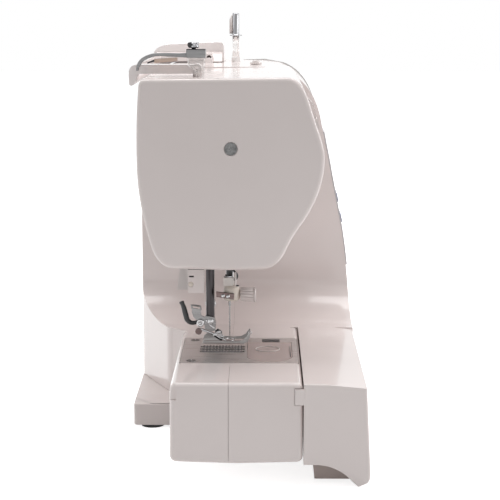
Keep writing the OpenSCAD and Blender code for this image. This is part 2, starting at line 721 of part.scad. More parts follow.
module needle_clamp() color("#EDE3DC") {
    difference() {
        rod_z(clamp_z, clamp_z + 10, 6, x_needle, needle_y - 1.6);
        rod_z(bar_low - 0.01, clamp_z + 11, needle_bar_r + 0.02, x_needle, needle_y);
        rod_z(clamp_z - 1, clamp_z + 11, 1.05, x_needle, needle_y);
    }
    // thread guide arm
    difference() {
        block([x_needle - 6.5, needle_y - 2, clamp_z + 0.3], [x_needle - 4.6, needle_y + 8.4, clamp_z + 7]);
        rod_x(x_needle - 8, x_needle - 4, 1.4, needle_y + 5, clamp_z + 3.6);
    }
}

module clamp_screw() color(white) {
    difference() {
        rod_y(needle_y - 19.7, needle_y - 9.6, 5.25, x_needle, clamp_z + 5);
        for (a = [0:30:330]) translate([x_needle, 0, clamp_z + 5]) rotate([0, a, 0])
            rod_y(needle_y - 18, needle_y - 9, 0.8, 5.5, 0);
    }
    rod_y(needle_y - 9.7, needle_y - 7.9, 2, x_needle, clamp_z + 5);
}

module needle() color("#D8D9DB") {
    rod_z(84.2, 90, 0.35, x_needle, needle_y);
    rod_z(90, 107, 0.5, x_needle, needle_y);
    rod_z(107, bar_low, 1, x_needle, needle_y);
    translate([x_needle, needle_y, 82.6]) cylinder(h = 1.6, r1 = 0.06, r2 = 0.35);
}

// ---- presser ----

presser_x = x_needle + 0.5;
presser_low = 99;

module presser_bar() color("#2E2C2E") {
    rod_z(presser_low, shaft_z + 8, presser_bar_r, presser_x, y_presser);
    // bracket that the lifter raises
    difference() {
        block([presser_x - 5.5, y_presser - 5, 172], [lifter_x - 3.8, y_presser + 5.5, 181]);
        rod_z(171, 182, presser_bar_r - 0.1, presser_x, y_presser);
    }
}

// Coil of round wire about a vertical axis at the origin, closed at both ends
module coil(r, wire, z0, z1, turns, sides = 8, steps = 12) {
    n = turns * steps;
    pts = [for (i = [0:n], k = [0:sides - 1]) let (
        a = 360 * i / steps,
        b = 360 * k / sides,
        q = r + wire * cos(b)
    ) [q * cos(a), q * sin(a), z0 + (z1 - z0) * i / n + wire * sin(b)]];
    faces = [for (i = [0:n - 1], k = [0:sides - 1]) let (m = (k + 1) % sides)
        [i * sides + k, i * sides + m, (i + 1) * sides + m, (i + 1) * sides + k]];
    ends = [[for (k = [sides - 1:-1:0]) k], [for (k = [0:sides - 1]) n * sides + k]];
    polyhedron(pts, concat(faces, ends));
}

spring_wire = 0.9;

module presser_spring() color("#A9AAAD") translate([presser_x, y_presser, 0])
    coil(presser_bar_r + 0.3 + spring_wire, spring_wire, 181.2 + spring_wire, shaft_z - 9.2 - spring_wire, 9);

lifter_y = y_presser + 14;
lifter_z = 160;

module presser_lifter() color(white) difference() {
    union() {
        rod_x(lifter_x - 3, lifter_x + 3, 6.5, lifter_y, lifter_z);
        // cam that pushes the bracket up
        block([lifter_x - 3, lifter_y - 11, lifter_z - 3], [lifter_x + 3, lifter_y, lifter_z + 6.4]);
        // handle
        along_x(lifter_x - 2.6, lifter_x + 2.6) polygon([[lifter_y - 5, lifter_z - 2],
            [lifter_y + 6, lifter_z - 2], [lifter_y + 9, lifter_z - 22], [lifter_y + 12, lifter_z - 44],
            [lifter_y + 2, lifter_z - 44], [lifter_y - 1, lifter_z - 22]]);
    }
    rod_x(lifter_x - 4, lifter_x + 4, 2.5 + fit, lifter_y, lifter_z);
}

ankle_y = y_presser + 6.2;
ankle_z = bed_top + foot_lift + 13;

module foot_holder() color("#9A9898") {
    difference() {
        rod_z(presser_low - 3, presser_low + 13, presser_bar_r + 2.2, presser_x, y_presser);
        rod_z(presser_low, presser_low + 14, presser_bar_r + 0.02, presser_x, y_presser);
        rod_x(presser_x, presser_x + 8, 1.83, y_presser, presser_low + 8);
    }
    // ankle that hangs from the collar
    difference() {
        block([presser_x - 4, y_presser - 3, ankle_z - 1],
            [presser_x + 4, y_presser + 14, presser_low - 2.9]);
        rod_x(presser_x - 5, presser_x + 5, 1.7, ankle_y, ankle_z);
        block([presser_x - 2.6, ankle_y - 9, ankle_z - 2], [presser_x + 2.6, ankle_y + 2.6, ankle_z + 3.4]);
    }
    // eyelet at the back
    along_x(presser_x - 1, presser_x + 1) translate([y_presser + 10.5, presser_low + 4]) difference() {
        union() {
            circle(4.5);
            translate([-6, -6.5]) square([8, 6]);
        }
        circle(2.6);
    }
}

module foot_release_lever() color(black) {
    difference() {
        along_x(presser_x - 3.4, presser_x + 3.4) translate([y_presser, 0]) polygon([
            [14.4, 95], [15.8, 91], [18.5, 90.4], [20.6, 93], [22, 99.5], [23.5, 104],
            [23, 109.6], [20.6, 110.4], [19.2, 106], [18, 99.6], [16.6, 97.6]]);
        rod_x(presser_x - 5, presser_x + 5, 0.9 + fit, y_presser + 17.6, 94);
    }
}

module holder_screw() color("#C9C9CB") {
    rod_x(presser_x + presser_bar_r + 2.4, presser_x + presser_bar_r + 8, 4, y_presser, presser_low + 8);
    rod_x(presser_x + presser_bar_r + 0.1, presser_x + presser_bar_r + 3, 1.8, y_presser, presser_low + 8);
}

module presser_foot() color("#C7C8CA") {
    difference() {
        translate([0, 0, bed_top + foot_lift]) along_x(presser_x - 9, presser_x + 9)
            translate([needle_y, 0]) polygon([[-15, 8.6], [-16.4, 8], [-13.4, 3], [-9.6, 0],
                [20.5, 0], [21.2, 1.4], [21, 2.8], [-9, 2.8], [-12, 4.6]]);
        // zigzag needle slot and toe slot
        along_z(bed_top, bed_top + 20)
            round_rect([x_needle - 4, needle_y - 1.8], [x_needle + 4, needle_y + 2.2], 0.8);
        along_z(bed_top, bed_top + 20) translate([x_needle, needle_y]) polygon([[-1.3, -5], [1.3, -5],
            [5.8, -9.4], [5.8, -20], [-5.8, -20], [-5.8, -9.4]]);
    }
    // two ears and the cross pin
    for (s = [-1, 1]) block([presser_x + s * 6 - 1.2, ankle_y - 5, bed_top + foot_lift + 2],
        [presser_x + s * 6 + 1.2, ankle_y + 1.6, ankle_z + 2]);
    rod_x(presser_x - 6, presser_x + 6, 1.6, ankle_y, ankle_z);
}

module take_up_lever() color(steel) difference() {
    union() {
        rod_x(take_up_x - 3, take_up_x, 6, take_y, take_z);
        along_x(take_up_x - 2.2, take_up_x - 0.4) polygon([
            [take_y + 2, take_z - 4], [take_y + 2, take_z + 5],
            [head_front + 24, body_top - 24], [head_front + 15, body_top - 22],
            [head_front + 12, body_top - 27], [head_front + 18, body_top - 31]]);
    }
    rod_x(take_up_x - 4, take_up_x + 1, 2.5 + fit, take_y, take_z);
    rod_x(take_up_x - 4, take_up_x + 1, 1.6, head_front + 16.5, body_top - 26.6);
}

take_y = needle_y + 6;
take_z = 222;

module buttonhole_lever() color(white) {
    block([x_needle - 27, y_presser + 3, 122.5], [x_needle - 24, y_presser + 16, 138.5]);
    block([x_needle - 26.6, y_presser + 9, 138], [x_needle - 24.4, y_presser + 13, 190]);
}

module lamp_lens() color("#F4F2EE", 0.7) {
    block([x_needle + 13, y_presser - 30.7, head_low + 0.3],
        [x_needle + 26.7, y_presser - 10, head_low + 2.4]);
    block([x_needle + 14, y_presser - 29, head_low + 2.3], [x_needle + 25, y_presser - 11, head_low + 6]);
}

// ---- motor and electrics ----

motor_x1 = drive_x - 6;

module motor() color("#6E7073") {
    rod_x(motor_x1 - 62, motor_x1, motor_r, motor_y, motor_z);
    rod_x(motor_x1 - 66, motor_x1 - 61, 10, motor_y, motor_z);
    rod_x(motor_x1 - 1, motor_x1 + 3, 7, motor_y, motor_z);
    // foot of the motor on the pan
    block([motor_x1 - 56, motor_y - 20, foot_h + wall], [motor_x1 - 8, motor_y + 20, motor_z - 16]);
}

module motor_pulley() color(steel) difference() {
    union() {
        toothed_wheel(drive_x - 0.5, drive_x + 9.5, motor_pulley_r, 14, motor_y, motor_z);
        rod_x(drive_x + 9.5, drive_x + 11, motor_pulley_r + 1.5, motor_y, motor_z);
        rod_x(drive_x - 2, drive_x - 0.5, motor_pulley_r + 1.5, motor_y, motor_z);
    }
}

module drive_belt() color(black)
    belt(drive_x + 0.7, drive_x + 8.3, motor_pulley_r + 0.3, motor_y, motor_z,
        drive_r + 0.3, needle_y, shaft_z, 1.4);

module control_board() color("#2F6B45") {
    difference() {
        block([board_x0, board_y - 1.6, board_z0], [board_x1, board_y, board_z1]);
        for (x = [board_x0 + 6, board_x1 - 10], z = [board_z0 + 6, board_z1 - 8])
            rod_y(board_y - 2, board_y + 1, 1.4, x, z);
    }
    block([board_x0 + 20, board_y - eps, 120], [board_x0 + 34, board_y + 2.2, 134]);
    for (i = [0:3]) rod_y(board_y - eps, board_y + 12, 4, board_x0 + 16 + i * 16, 160);
    block([board_x0 + 30, board_y - eps, 178], [board_x0 + 66, board_y + 6, 188]);
}

// Front of the column at height z, measured on its outer surface
function front_at(z) = let (p = [for (i = [1:len(column_pts) - 1]) if (column_pts[i - 1].y <= z
    && column_pts[i].y > z && column_pts[i].x < 0) i][0], a = column_pts[p - 1], b = column_pts[p])
    a.x + (b.x - a.x) * (z - a.y) / (b.y - a.y);

// The column's front between two heights, from the bottom up
function front_between(z0, z1) = concat([[front_at(z0), z0]],
    [for (p = column_pts) if (p.x < 0 && p.y > z0 + 0.1 && p.y < z1 - 0.1) p], [[front_at(z1), z1]]);

// A plate that follows the column's front between two heights, from lift to lift + t above it
module front_plate(x0, x1, z0, z1, lift, t) let (pts = front_between(z0, z1), n = len(pts) - 1)
    along_x(x0, x1) polygon(concat(
        [for (p = pts) p - [lift, 0]],
        [for (i = [n:-1:0]) pts[i] - [lift + t, 0]]));

module control_panel() color("#D9D2D0") difference() {
    front_plate(panel_x0, panel_x1, panel_z0, panel_z1, 0.1, 1.4);
    block([window_x0 - seam, y_front - 5, window_z0 - seam], [window_x1 + seam, -50, window_z1 + seam]);
    for (i = [0:5]) rod_y(y_front - 5, -50, 4 + seam, button_x(i), button_z(i));
    rod_y(y_front - 5, -50, 13.5, panel_x1 - 24, 192);
}

function button_x(i) = window_x0 + 4 + (i % 3) * 19;
function button_z(i) = 146 + floor(i / 3) * 18;

module display_window() color("#5C6A60") front_plate(window_x0, window_x1, window_z0, window_z1, 0.1, 1);

module front_button(x, z, r, reach) intersection() {
    rod_y(y_front - 5, 0, r, x, z);
    front_plate(x - r - 1, x + r + 1, z - r - 2, z + r + 2, 0.2, reach);
}

module stitch_buttons() color("#7F86A0") for (i = [0:5]) front_button(button_x(i), button_z(i), 4, 3.2);

dial_lean = atan((28.5 - 9.7) / (body_top - 40.5 - 144));

module stitch_dial() color(white) translate([panel_x1 - 24, front_at(192) - 0.5, 192])
    rotate([90 - dial_lean, 0, 0]) difference() {
        union() {
            cylinder(h = 3, r = 13);
            translate([0, 0, 2.9]) cylinder(h = 0.8, r = 11);
        }
        for (i = [0:19]) rotate(i * 18) translate([13.3, 0, 1]) cylinder(h = 3, r = 0.9);
    }

// Front of the head at height z
function head_at(z) = let (p = [for (i = [1:len(head_pts) - 1]) if (head_pts[i - 1].y <= z
    && head_pts[i].y > z && head_pts[i].x < 0) i][0], a = head_pts[p - 1], b = head_pts[p])
    a.x + (b.x - a.x) * (z - a.y) / (b.y - a.y);

key_x = x_needle + 34;
key_z = 196;

module head_button(x, z, r, reach) intersection() {
    rod_y(head_front - 8, 0, r, x, z);
    along_x(x - r - 1, x + r + 1) polygon(concat(
        [for (i = [0:4]) let (h = z + (i - 2) * r * 0.6) [head_at(h) - 0.2, h]],
        [for (i = [4:-1:0]) let (h = z + (i - 2) * r * 0.6) [head_at(h) - 0.2 - reach, h]]));
}

module start_stop_button() color("#6FA77A") head_button(key_x, key_z, 7.5, 2.6);
module reverse_button() color(white) head_button(key_x + 22, key_z, 6.5, 2.6);
module needle_position_button() color(white) head_button(key_x + 42, key_z, 6.5, 2.6);

slider_x = key_x + 72;
slider_z = 236;

module speed_slider() color(white) {
    along_x(slider_x - 5, slider_x + 5) polygon([[head_at(slider_z - 5) - 0.3, slider_z - 5],
        [head_at(slider_z + 5) - 0.3, slider_z + 5], [head_at(slider_z + 5) - 3.6, slider_z + 4.4],
        [head_at(slider_z - 5) - 3.6, slider_z - 4.4]]);
    block([slider_x - 3, head_at(slider_z) - 1.5, slider_z - 1.1],
        [slider_x + 3, head_at(slider_z) + 6, slider_z + 1.1]);
}

dial_x = x_needle + 18;

module tension_dial() color(white) {
    difference() {
        rod_x(dial_x - 5, dial_x + 5, 17, dial_y, dial_z);
        rod_x(dial_x - 6, dial_x + 6, 3 + fit, dial_y, dial_z);
        for (turn = [0:10:350]) translate([dial_x, dial_y, dial_z]) rotate([turn, 0, 0])
            rod_x(-6, 6, 0.6, 17.2, 0);
    }
}

dial_z = body_top - 31;
dial_y = head_at(dial_z) + 17 - 2.4;

module power_switch() color(black) {
    block([x_right - 9, switch_y - 9, switch_z - 6], [x_right + 2.4, switch_y + 9, switch_z + 6]);
}

// Two-pin inlet with the foot control's jack below it
module power_inlet() color(black) difference() {
    union() {
        block([x_right - 14.5, switch_y - 11, inlet_z - 8], [x_right + 0.6, switch_y + 11, inlet_z + 8]);
        block([x_right - 8, switch_y - 12.6, inlet_z - 9.6],
            [x_right - wall - 0.2, switch_y + 12.6, inlet_z + 9.6]);
    }
    along_x(x_right - 12.5, x_right + 2) translate([switch_y, inlet_z])
        round_rect([-8.5, -5], [8.5, 5], 4.6);
}

// ---- top ----

handle_x0 = x_left + 96;
handle_x1 = x_left + 344;
handle_y = 34;
handle_z = body_top + 4.4;

module carry_handle() color("#EDE0DE") {
    for (x = [handle_x0, handle_x1 - 14]) difference() {
        along_x(x, x + 14) union() {
            translate([handle_y, handle_z]) circle(handle_t / 2 + 0.6);
            polygon([[handle_y, handle_z - handle_t / 2], [y_rear - 9.5, handle_z - handle_t / 2 - 0.2],
                [y_rear - 9.5, handle_z + handle_t / 2], [handle_y, handle_z + handle_t / 2]]);
        }
        rod_x(x - 1, x + 15, hinge_r + fit, handle_y, handle_z);
    }
    // grip across the back
    along_x(handle_x0, handle_x1) polygon(concat([[y_rear - 10.5, handle_z + handle_t / 2]],
        bend([y_rear - 10.5, handle_z + handle_t / 2], [y_rear - 4, handle_z + handle_t / 2],
            [y_rear - 4, handle_z - 4]),
        [[y_rear - 4.3, body_top - 7]],
        bend([y_rear - 4.3, body_top - 7], [y_rear - 6, body_top - 9], [y_rear - 8.8, body_top - 6], 3),
        [[y_rear - 10.5, handle_z - handle_t / 2 - 0.2]]));
}

guide_x = x_left + 90;

module thread_guide() color(grey) {
    // foot, post and curved tail
    block([guide_x - 5, 27.5, body_top + 0.2], [guide_x + 4, 33, body_top + 12.6]);
    difference() {
        block([guide_x - 7, 27, body_top + 12.5], [guide_x + 5, 41, body_top + 19.5]);
        block([guide_x - 5, 26, body_top + 14.6], [guide_x + 3, 42, body_top + 17.4]);
        rod_z(body_top + 16, body_top + 20, 1.52, guide_x - 1, 34);
    }
    along_x(guide_x - 1, guide_x + 1) polygon(concat(
        [[40, body_top + 19.5]],
        bend([40, body_top + 19.5], [66, body_top + 19.5], [75.5, body_top + 13]),
        bend([75.5, body_top + 13], [80, body_top + 9], [77.4, body_top + 2]),
        [[75.4, body_top + 2.8]],
        bend([75.4, body_top + 2.8], [76.6, body_top + 8.4], [73, body_top + 11.2]),
        bend([73, body_top + 11.2], [64, body_top + 17.2], [40, body_top + 17.3])));
}

module pretension_disc() color("#3B3A3C") {
    rod_z(body_top + 19.8, body_top + 21, 6, guide_x - 1, 34);
    rod_z(body_top + 21, body_top + 24.5, 4, guide_x - 1, 34);
    rod_z(body_top + 17.5, body_top + 20, 1.5, guide_x - 1, 34);
}

module top_hump() color("#EFE3E1") difference() {
    along_x(handle_x1 + 1, x_right - 12) polygon(concat(
        [[21, body_top + 0.15], [21.5, body_top + hump_h - 3]],
        bend([21.5, body_top + hump_h - 3], [22, body_top + hump_h], [25, body_top + hump_h], 3),
        [[y_rear - 17.75, body_top + hump_h - 2]],
        bend([y_rear - 17.75, body_top + hump_h - 2], [y_rear - 3.75, body_top + hump_h - 3],
            [y_rear - 2.75, body_top + 6]),
        [[y_rear - 7.35, body_top - 10.4], column_pts[2] + [0.4, 0.3], [head_rear - 0.8, body_top - 7.8],
            [head_rear - 3, body_top - 2.6], [head_rear - 8, body_top - 0.4],
            column_pts[0] + [0, 0.15]]));
    along_x(handle_x1 + 3, x_right - 14) polygon([[24, body_top - 3], [24, body_top + hump_h - 3],
        [y_rear - 18.75, body_top + hump_h - 5], [y_rear - 8.75, body_top + 8],
        [y_rear - 11.75, body_top - 6], [y_rear - 17.75, body_top - 3]]);
}

module winder_spindle() color(steel) {
    rod_z(spindle_top - 19.6, spindle_top, 3, winder_x, needle_y);
    rod_z(spindle_top - 20.6, spindle_top - 19.5, 6, winder_x, needle_y);
    rod_z(body_top - 24, spindle_top - 20.5, 4, winder_x, needle_y);
    // friction wheel
    rod_z(body_top - 12, body_top - 5, 9, winder_x, needle_y);
}

module spool_pin() color(white) {
    rod_z(body_top + 0.2, body_top + 1.7, 5, spool_x, spool_y);
    rod_z(body_top - 52, body_top + 3.2, 3, spool_x, spool_y);
}

// ---- metal frame ----

rail_y0 = arm_rear - 18;
rail_y1 = arm_rear - 8;
beam_y0 = y_presser + 8.5;
beam_y1 = y_presser + 20;

module frame_casting() color("#9A9DA0") difference() {
    union() {
        // rail in the free arm and its two cross-beams
        block([x_needle - 42, rail_y0, 20.4], [x_col + 54, rail_y1, 38]);
        for (x = [x_needle - 40, x_needle + 30]) block([x, plate_y0 + 6, 20.4], [x + 6, rail_y1, 38]);
        // posts under the needle plate
        for (x = [x_needle - 40, x_needle + 30], y = [plate_y0 + 2, rail_y0 + 4])
            block([x, y, 30], [x + 6, y + 6, bed_top - plate_t]);
        for (p = plate_screw_at)
            block([p.x - 4, rail_y0 + 2, 60], [p.x + 4, plate_y0 + plate_depth - 2, bed_top - plate_t]);
        // carrier of the hook
        block([x_needle - 40, hook_y - 7, 20.4], [x_needle + 36, hook_y + 7, 24.4]);
        rod_z(20.4, lower_z - 5.3, 7, x_needle, hook_y);
        // lugs of the feed bar
        for (x = [x_needle - 33, x_needle + 27]) block([x, rail_y0 - 4, 36], [x + 6, rail_y1, 53]);
        // post and arm beam
        block([x_col + 34, min(rail_y0, beam_y0), 30], [x_col + 54, max(rail_y1, beam_y1), 38]);
        block([x_col + 34, beam_y0, 30], [x_col + 54, beam_y1, shaft_z + 14]);
        block([frame_x - 12, beam_y0, shaft_z - 18], [bush_at[1] + 12, beam_y1, shaft_z + 14]);
        // right bearing of the lower shaft
        block([x_col + 34, lower_y - 7, lower_z - 9], [x_col + 44, beam_y0 + 1, lower_z + 7]);
        // lugs of the upper shaft
        for (x = bush_at) block([x, needle_y - 11, shaft_z - 11], [x + 10, beam_y0 + 1, shaft_z + 11]);
        // plate and lugs of the presser bar
        block([presser_x - 9, beam_y0, head_low + 5.5], [presser_x + 12, beam_y1, shaft_z]);
        for (z = [head_low + 5.5, shaft_z - 9])
            block([presser_x - 9, y_presser - 6, z], [presser_x + 4.5, beam_y0 + 1, z + 9]);
        // pin of the needle bar frame
        rod_y(needle_y - 7, beam_y0 + 1, 3, frame_x + 2.1 - 6, shaft_z + 6);
        // stud of the lifter and of the take-up lever
        rod_x(presser_x + 11, lifter_x + 3.6, 2.5, lifter_y, lifter_z);
        rod_x(take_up_x - 6, take_up_x + 0.6, 2.5, take_y, take_z);
        block([take_up_x - 10, take_y - 6, take_z - 6], [take_up_x - 5, beam_y1, take_z + 12]);
        rod_x(x_face + 16.3, take_up_x - 5, 5, cover_screw_y, cover_screw_z);
        // guide of the buttonhole lever
        block([x_needle - 30, y_presser + 7, 160], [presser_x - 8.9, y_presser + 15.5, 171]);
    }
    block([x_needle - 26.9, y_presser + 8.7, 150], [x_needle - 24.1, y_presser + 13.3, 180]);
    rod_x(x_face + 16, x_face + 25, 2.02, cover_screw_y, cover_screw_z);
    for (p = plate_screw_at) rod_z(bed_top - 8, bed_top, 1.52, p.x, p.y);
    rod_x(x_needle + 20, x_col + 50, lower_r + fit, lower_y, lower_z);
    rod_z(19, lower_z - 4, 3.5 + fit, x_needle, hook_y);
    for (x = bush_at) rod_x(x - 1, x + 11, 7.02, needle_y, shaft_z);
    rod_z(head_low, shaft_z + 9, presser_bar_r + fit, presser_x, y_presser);
}

front_casing();
rear_casing();
face_cover();
cover_screws();
base_pan();
rubber_feet();
extension_table();
accessory_tray();
needle_plate();
bobbin_cover();
cover_latch();
feed_dogs();
feed_bar();
rotary_hook();
bobbin_case();
bobbin();
lower_shaft();
timing_belt();
upper_shaft();
handwheel();
shaft_bushings();
needle_bar_link();
take_up_lever();
needle_bar();
needle_bar_frame();
needle_clamp();
clamp_screw();
needle();
presser_bar();
presser_spring();
presser_lifter();
foot_holder();
foot_release_lever();
holder_screw();
presser_foot();
buttonhole_lever();
lamp_lens();
motor();
motor_pulley();
drive_belt();
frame_casting();
control_board();
control_panel();
display_window();
stitch_buttons();
start_stop_button();
reverse_button();
needle_position_button();
speed_slider();
tension_dial();
stitch_dial();
carry_handle();
thread_guide();
pretension_disc();
top_hump();
winder_spindle();
spool_pin();
power_switch();
power_inlet();
drop_feed_lever();
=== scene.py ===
"""Sewing machine: finish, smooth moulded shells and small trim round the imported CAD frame."""
import math

import bmesh
import bpy
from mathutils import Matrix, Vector


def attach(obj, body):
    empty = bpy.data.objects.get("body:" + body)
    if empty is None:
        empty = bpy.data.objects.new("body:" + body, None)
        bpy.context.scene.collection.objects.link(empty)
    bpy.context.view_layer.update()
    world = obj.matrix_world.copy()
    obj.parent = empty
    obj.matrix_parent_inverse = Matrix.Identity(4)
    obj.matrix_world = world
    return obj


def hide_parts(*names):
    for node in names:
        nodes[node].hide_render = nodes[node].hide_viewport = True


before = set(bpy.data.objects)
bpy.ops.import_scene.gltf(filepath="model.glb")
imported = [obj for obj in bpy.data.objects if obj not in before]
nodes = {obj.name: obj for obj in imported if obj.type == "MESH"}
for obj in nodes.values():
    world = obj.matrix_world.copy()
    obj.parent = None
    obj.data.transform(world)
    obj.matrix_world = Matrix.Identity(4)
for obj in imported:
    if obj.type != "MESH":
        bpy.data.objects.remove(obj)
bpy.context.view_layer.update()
scene = bpy.context.scene
MM = 0.001
SHARP = 32  # degrees between faces from which an edge is rounded
JOINT_WEIGHT = 0.12  # share of the rounding on edges in a closed joint

# ---------------------------------------------------------------- camera
LENS_MM = 102.6
CAMERA_AT = Vector((-1.161, -0.01575, 0.331))
PITCH_DOWN = 9.755
YAW_LEFT = 0.594


def make_camera():
    data = bpy.data.cameras.new("photo_camera")
    data.lens = LENS_MM
    data.sensor_width = 36.0
    camera = bpy.data.objects.new("photo_camera", data)
    camera.location = CAMERA_AT
    camera.rotation_euler = (math.radians(90 - PITCH_DOWN), 0, math.radians(-90 + YAW_LEFT))
    scene.collection.objects.link(camera)
    scene.camera = camera


# ---------------------------------------------------------------- materials
def new_material(name):
    material = bpy.data.materials.new(name)
    material.use_nodes = True
    tree = material.node_tree
    return material, tree, tree.nodes["Principled BSDF"]


def add_noise(tree, scale, detail=3.0):
    coordinates = tree.nodes.new("ShaderNodeTexCoord")
    noise = tree.nodes.new("ShaderNodeTexNoise")
    noise.inputs["Scale"].default_value = scale
    noise.inputs["Detail"].default_value = detail
    tree.links.new(coordinates.outputs["Object"], noise.inputs["Vector"])
    return noise


def ramp(tree, factor, low, high):
    """Colours from low to high as factor goes from 0.3 to 0.7."""
    node = tree.nodes.new("ShaderNodeValToRGB")
    node.color_ramp.elements[0].position = 0.3
    node.color_ramp.elements[1].position = 0.7
    node.color_ramp.elements[0].color = (*low, 1)
    node.color_ramp.elements[1].color = (*high, 1)
    tree.links.new(factor, node.inputs["Fac"])
    return node.outputs["Color"]


def spread(tree, factor, low, high):
    """Maps a 0 to 1 noise onto low to high."""
    node = tree.nodes.new("ShaderNodeMapRange")
    node.inputs["From Min"].default_value = 0.3
    node.inputs["From Max"].default_value = 0.7
    node.inputs["To Min"].default_value = low
    node.inputs["To Max"].default_value = high
    tree.links.new(factor, node.inputs["Value"])
    return node.outputs["Result"]


def bump(tree, shader, height, strength, distance):
    node = tree.nodes.new("ShaderNodeBump")
    node.inputs["Strength"].default_value = strength
    node.inputs["Distance"].default_value = distance
    tree.links.new(height, node.inputs["Height"])
    tree.links.new(node.outputs["Normal"], shader.inputs["Normal"])


def plastic(name, colour, roughness=0.2, coat=0.0, grain=0.02, variation=0.012):
    """Moulded plastic: a faint drift of colour, uneven gloss and a very fine grain."""
    material, tree, shader = new_material(name)
    drift = add_noise(tree, 14, 2)
    low = [max(0, c - variation) for c in colour]
    high = [min(1, c + variation) for c in colour]
    tree.links.new(ramp(tree, drift.outputs["Fac"], low, high), shader.inputs["Base Color"])
    gloss = add_noise(tree, 60, 3)
    tree.links.new(spread(tree, gloss.outputs["Fac"], roughness * 0.85, roughness * 1.2),
                   shader.inputs["Roughness"])
    fine = add_noise(tree, 1800, 2)
    bump(tree, shader, fine.outputs["Fac"], grain, 0.00006)
    shader.inputs["Coat Weight"].default_value = coat
    shader.inputs["Coat Roughness"].default_value = 0.06
    return material


def metal(name, colour, roughness=0.25, brushed=None, variation=0.03):
    """Metal with fine scratches: brushed names the direction that stretches them."""
    material, tree, shader = new_material(name)
    shader.inputs["Metallic"].default_value = 1.0
    coordinates = tree.nodes.new("ShaderNodeTexCoord")
    mapping = tree.nodes.new("ShaderNodeMapping")
    along = {"x": (30, 1500, 1500), "y": (1500, 30, 1500), "z": (1500, 1500, 30)}
    mapping.inputs["Scale"].default_value = along.get(brushed, (500, 500, 500))
    tree.links.new(coordinates.outputs["Object"], mapping.inputs["Vector"])
    lines = tree.nodes.new("ShaderNodeTexNoise")
    lines.inputs["Scale"].default_value = 1.0
    lines.inputs["Detail"].default_value = 4.0
    tree.links.new(mapping.outputs["Vector"], lines.inputs["Vector"])
    low = [max(0, c - variation) for c in colour]
    high = [min(1, c + variation) for c in colour]
    tree.links.new(ramp(tree, lines.outputs["Fac"], low, high), shader.inputs["Base Color"])
    tree.links.new(spread(tree, lines.outputs["Fac"], roughness * 0.8, roughness * 1.25),
                   shader.inputs["Roughness"])
    bump(tree, shader, lines.outputs["Fac"], 0.08, 0.00003)
    return material


def clear_plastic(name, colour, transmission=0.85, roughness=0.08):
    material, tree, shader = new_material(name)
    shader.inputs["Transmission Weight"].default_value = transmission
    shader.inputs["IOR"].default_value = 1.47
    drift = add_noise(tree, 40, 2)
    low = [c * 0.97 for c in colour]
    tree.links.new(ramp(tree, drift.outputs["Fac"], low, colour), shader.inputs["Base Color"])
    tree.links.new(spread(tree, drift.outputs["Fac"], roughness * 0.8, roughness * 1.2),
                   shader.inputs["Roughness"])
    return material


WHITE = plastic("warm_white_gloss", (0.79, 0.71, 0.69), 0.16, coat=0.4)
WHITE_SATIN = plastic("warm_white_satin", (0.76, 0.70, 0.68), 0.32)
PAN_WHITE = plastic("pan_white", (0.74, 0.67, 0.65), 0.36, grain=0.08)
# The accessory tray's grey-brown is kept this dark as painted shade for its recess inside the
# extension table.
TRAY_PAINTED_SHADE = plastic("tray_painted_shade_grey", (0.42, 0.345, 0.32), 0.5, grain=0.1)
PANEL = plastic("panel_grey", (0.52, 0.49, 0.50), 0.28)
BLACK = plastic("black_plastic", (0.018, 0.018, 0.02), 0.35, grain=0.1, variation=0.004)
RUBBER = plastic("black_rubber", (0.02, 0.02, 0.021), 0.7, grain=0.3, variation=0.005)
CREAM = plastic("cream_plastic", (0.80, 0.72, 0.64), 0.25)
KEYS = plastic("key_rubber", (0.20, 0.22, 0.32), 0.55, grain=0.2)
GREEN = plastic("green_key", (0.10, 0.30, 0.14), 0.3)
BOARD = plastic("solder_mask", (0.02, 0.12, 0.05), 0.35)
SATIN_STEEL = metal("satin_steel", (0.33, 0.32, 0.315), 0.3, "y", 0.06)
BRIGHT = metal("bright_steel", (0.46, 0.455, 0.46), 0.16, "z", 0.06)
PLATE_STEEL = metal("plate_steel", (0.68, 0.655, 0.645), 0.32, "y")
STEEL = metal("machined_steel", (0.50, 0.50, 0.51), 0.26, "x")
CAST = metal("cast_aluminium", (0.46, 0.47, 0.48), 0.5)
DARK = metal("black_oxide", (0.055, 0.05, 0.052), 0.3, "z", 0.015)
BRONZE = metal("bronze", (0.48, 0.33, 0.16), 0.38)
MOTOR = metal("motor_steel", (0.24, 0.25, 0.26), 0.45)
CLEAR = clear_plastic("clear_cover", (0.70, 0.57, 0.54), 0.4, 0.12)
LENS = clear_plastic("lamp_lens", (0.95, 0.93, 0.90), roughness=0.3)
SCREW_STEEL = metal("screw_steel", (0.15, 0.15, 0.15), 0.2, variation=0.05)
BROWN_STEEL = metal("brown_steel", (0.16, 0.12, 0.115), 0.35, "y")
SATIN_DARK = metal("satin_dark_steel", (0.24, 0.235, 0.235), 0.28, "y", 0.05)
GUIDE_STEEL = metal("guide_steel", (0.23, 0.228, 0.23), 0.3, "y", 0.04)
DOG_STEEL = metal("dog_steel", (0.22, 0.21, 0.21), 0.35, "y")
CHROME = metal("chrome", (0.36, 0.36, 0.37), 0.14, "z", 0.22)
TAN = plastic("tan_spring", (0.72, 0.56, 0.47), 0.4)
LIGHT = plastic("light_gloss", (0.93, 0.87, 0.855), 0.2, coat=0.3)
# Grey for a strip of painted shade along the column's far edge.
EDGE_SHADE_GREY = plastic("painted_edge_shade_grey", (0.40, 0.38, 0.37), 0.5)
MILKY = plastic("milky_plastic", (0.84, 0.79, 0.75), 0.3)
CLEAR_STEM = clear_plastic("clear_stem", (0.95, 0.93, 0.92), 0.8, 0.1)
DISPLAY = plastic("display", (0.10, 0.13, 0.12), 0.12, coat=0.8)

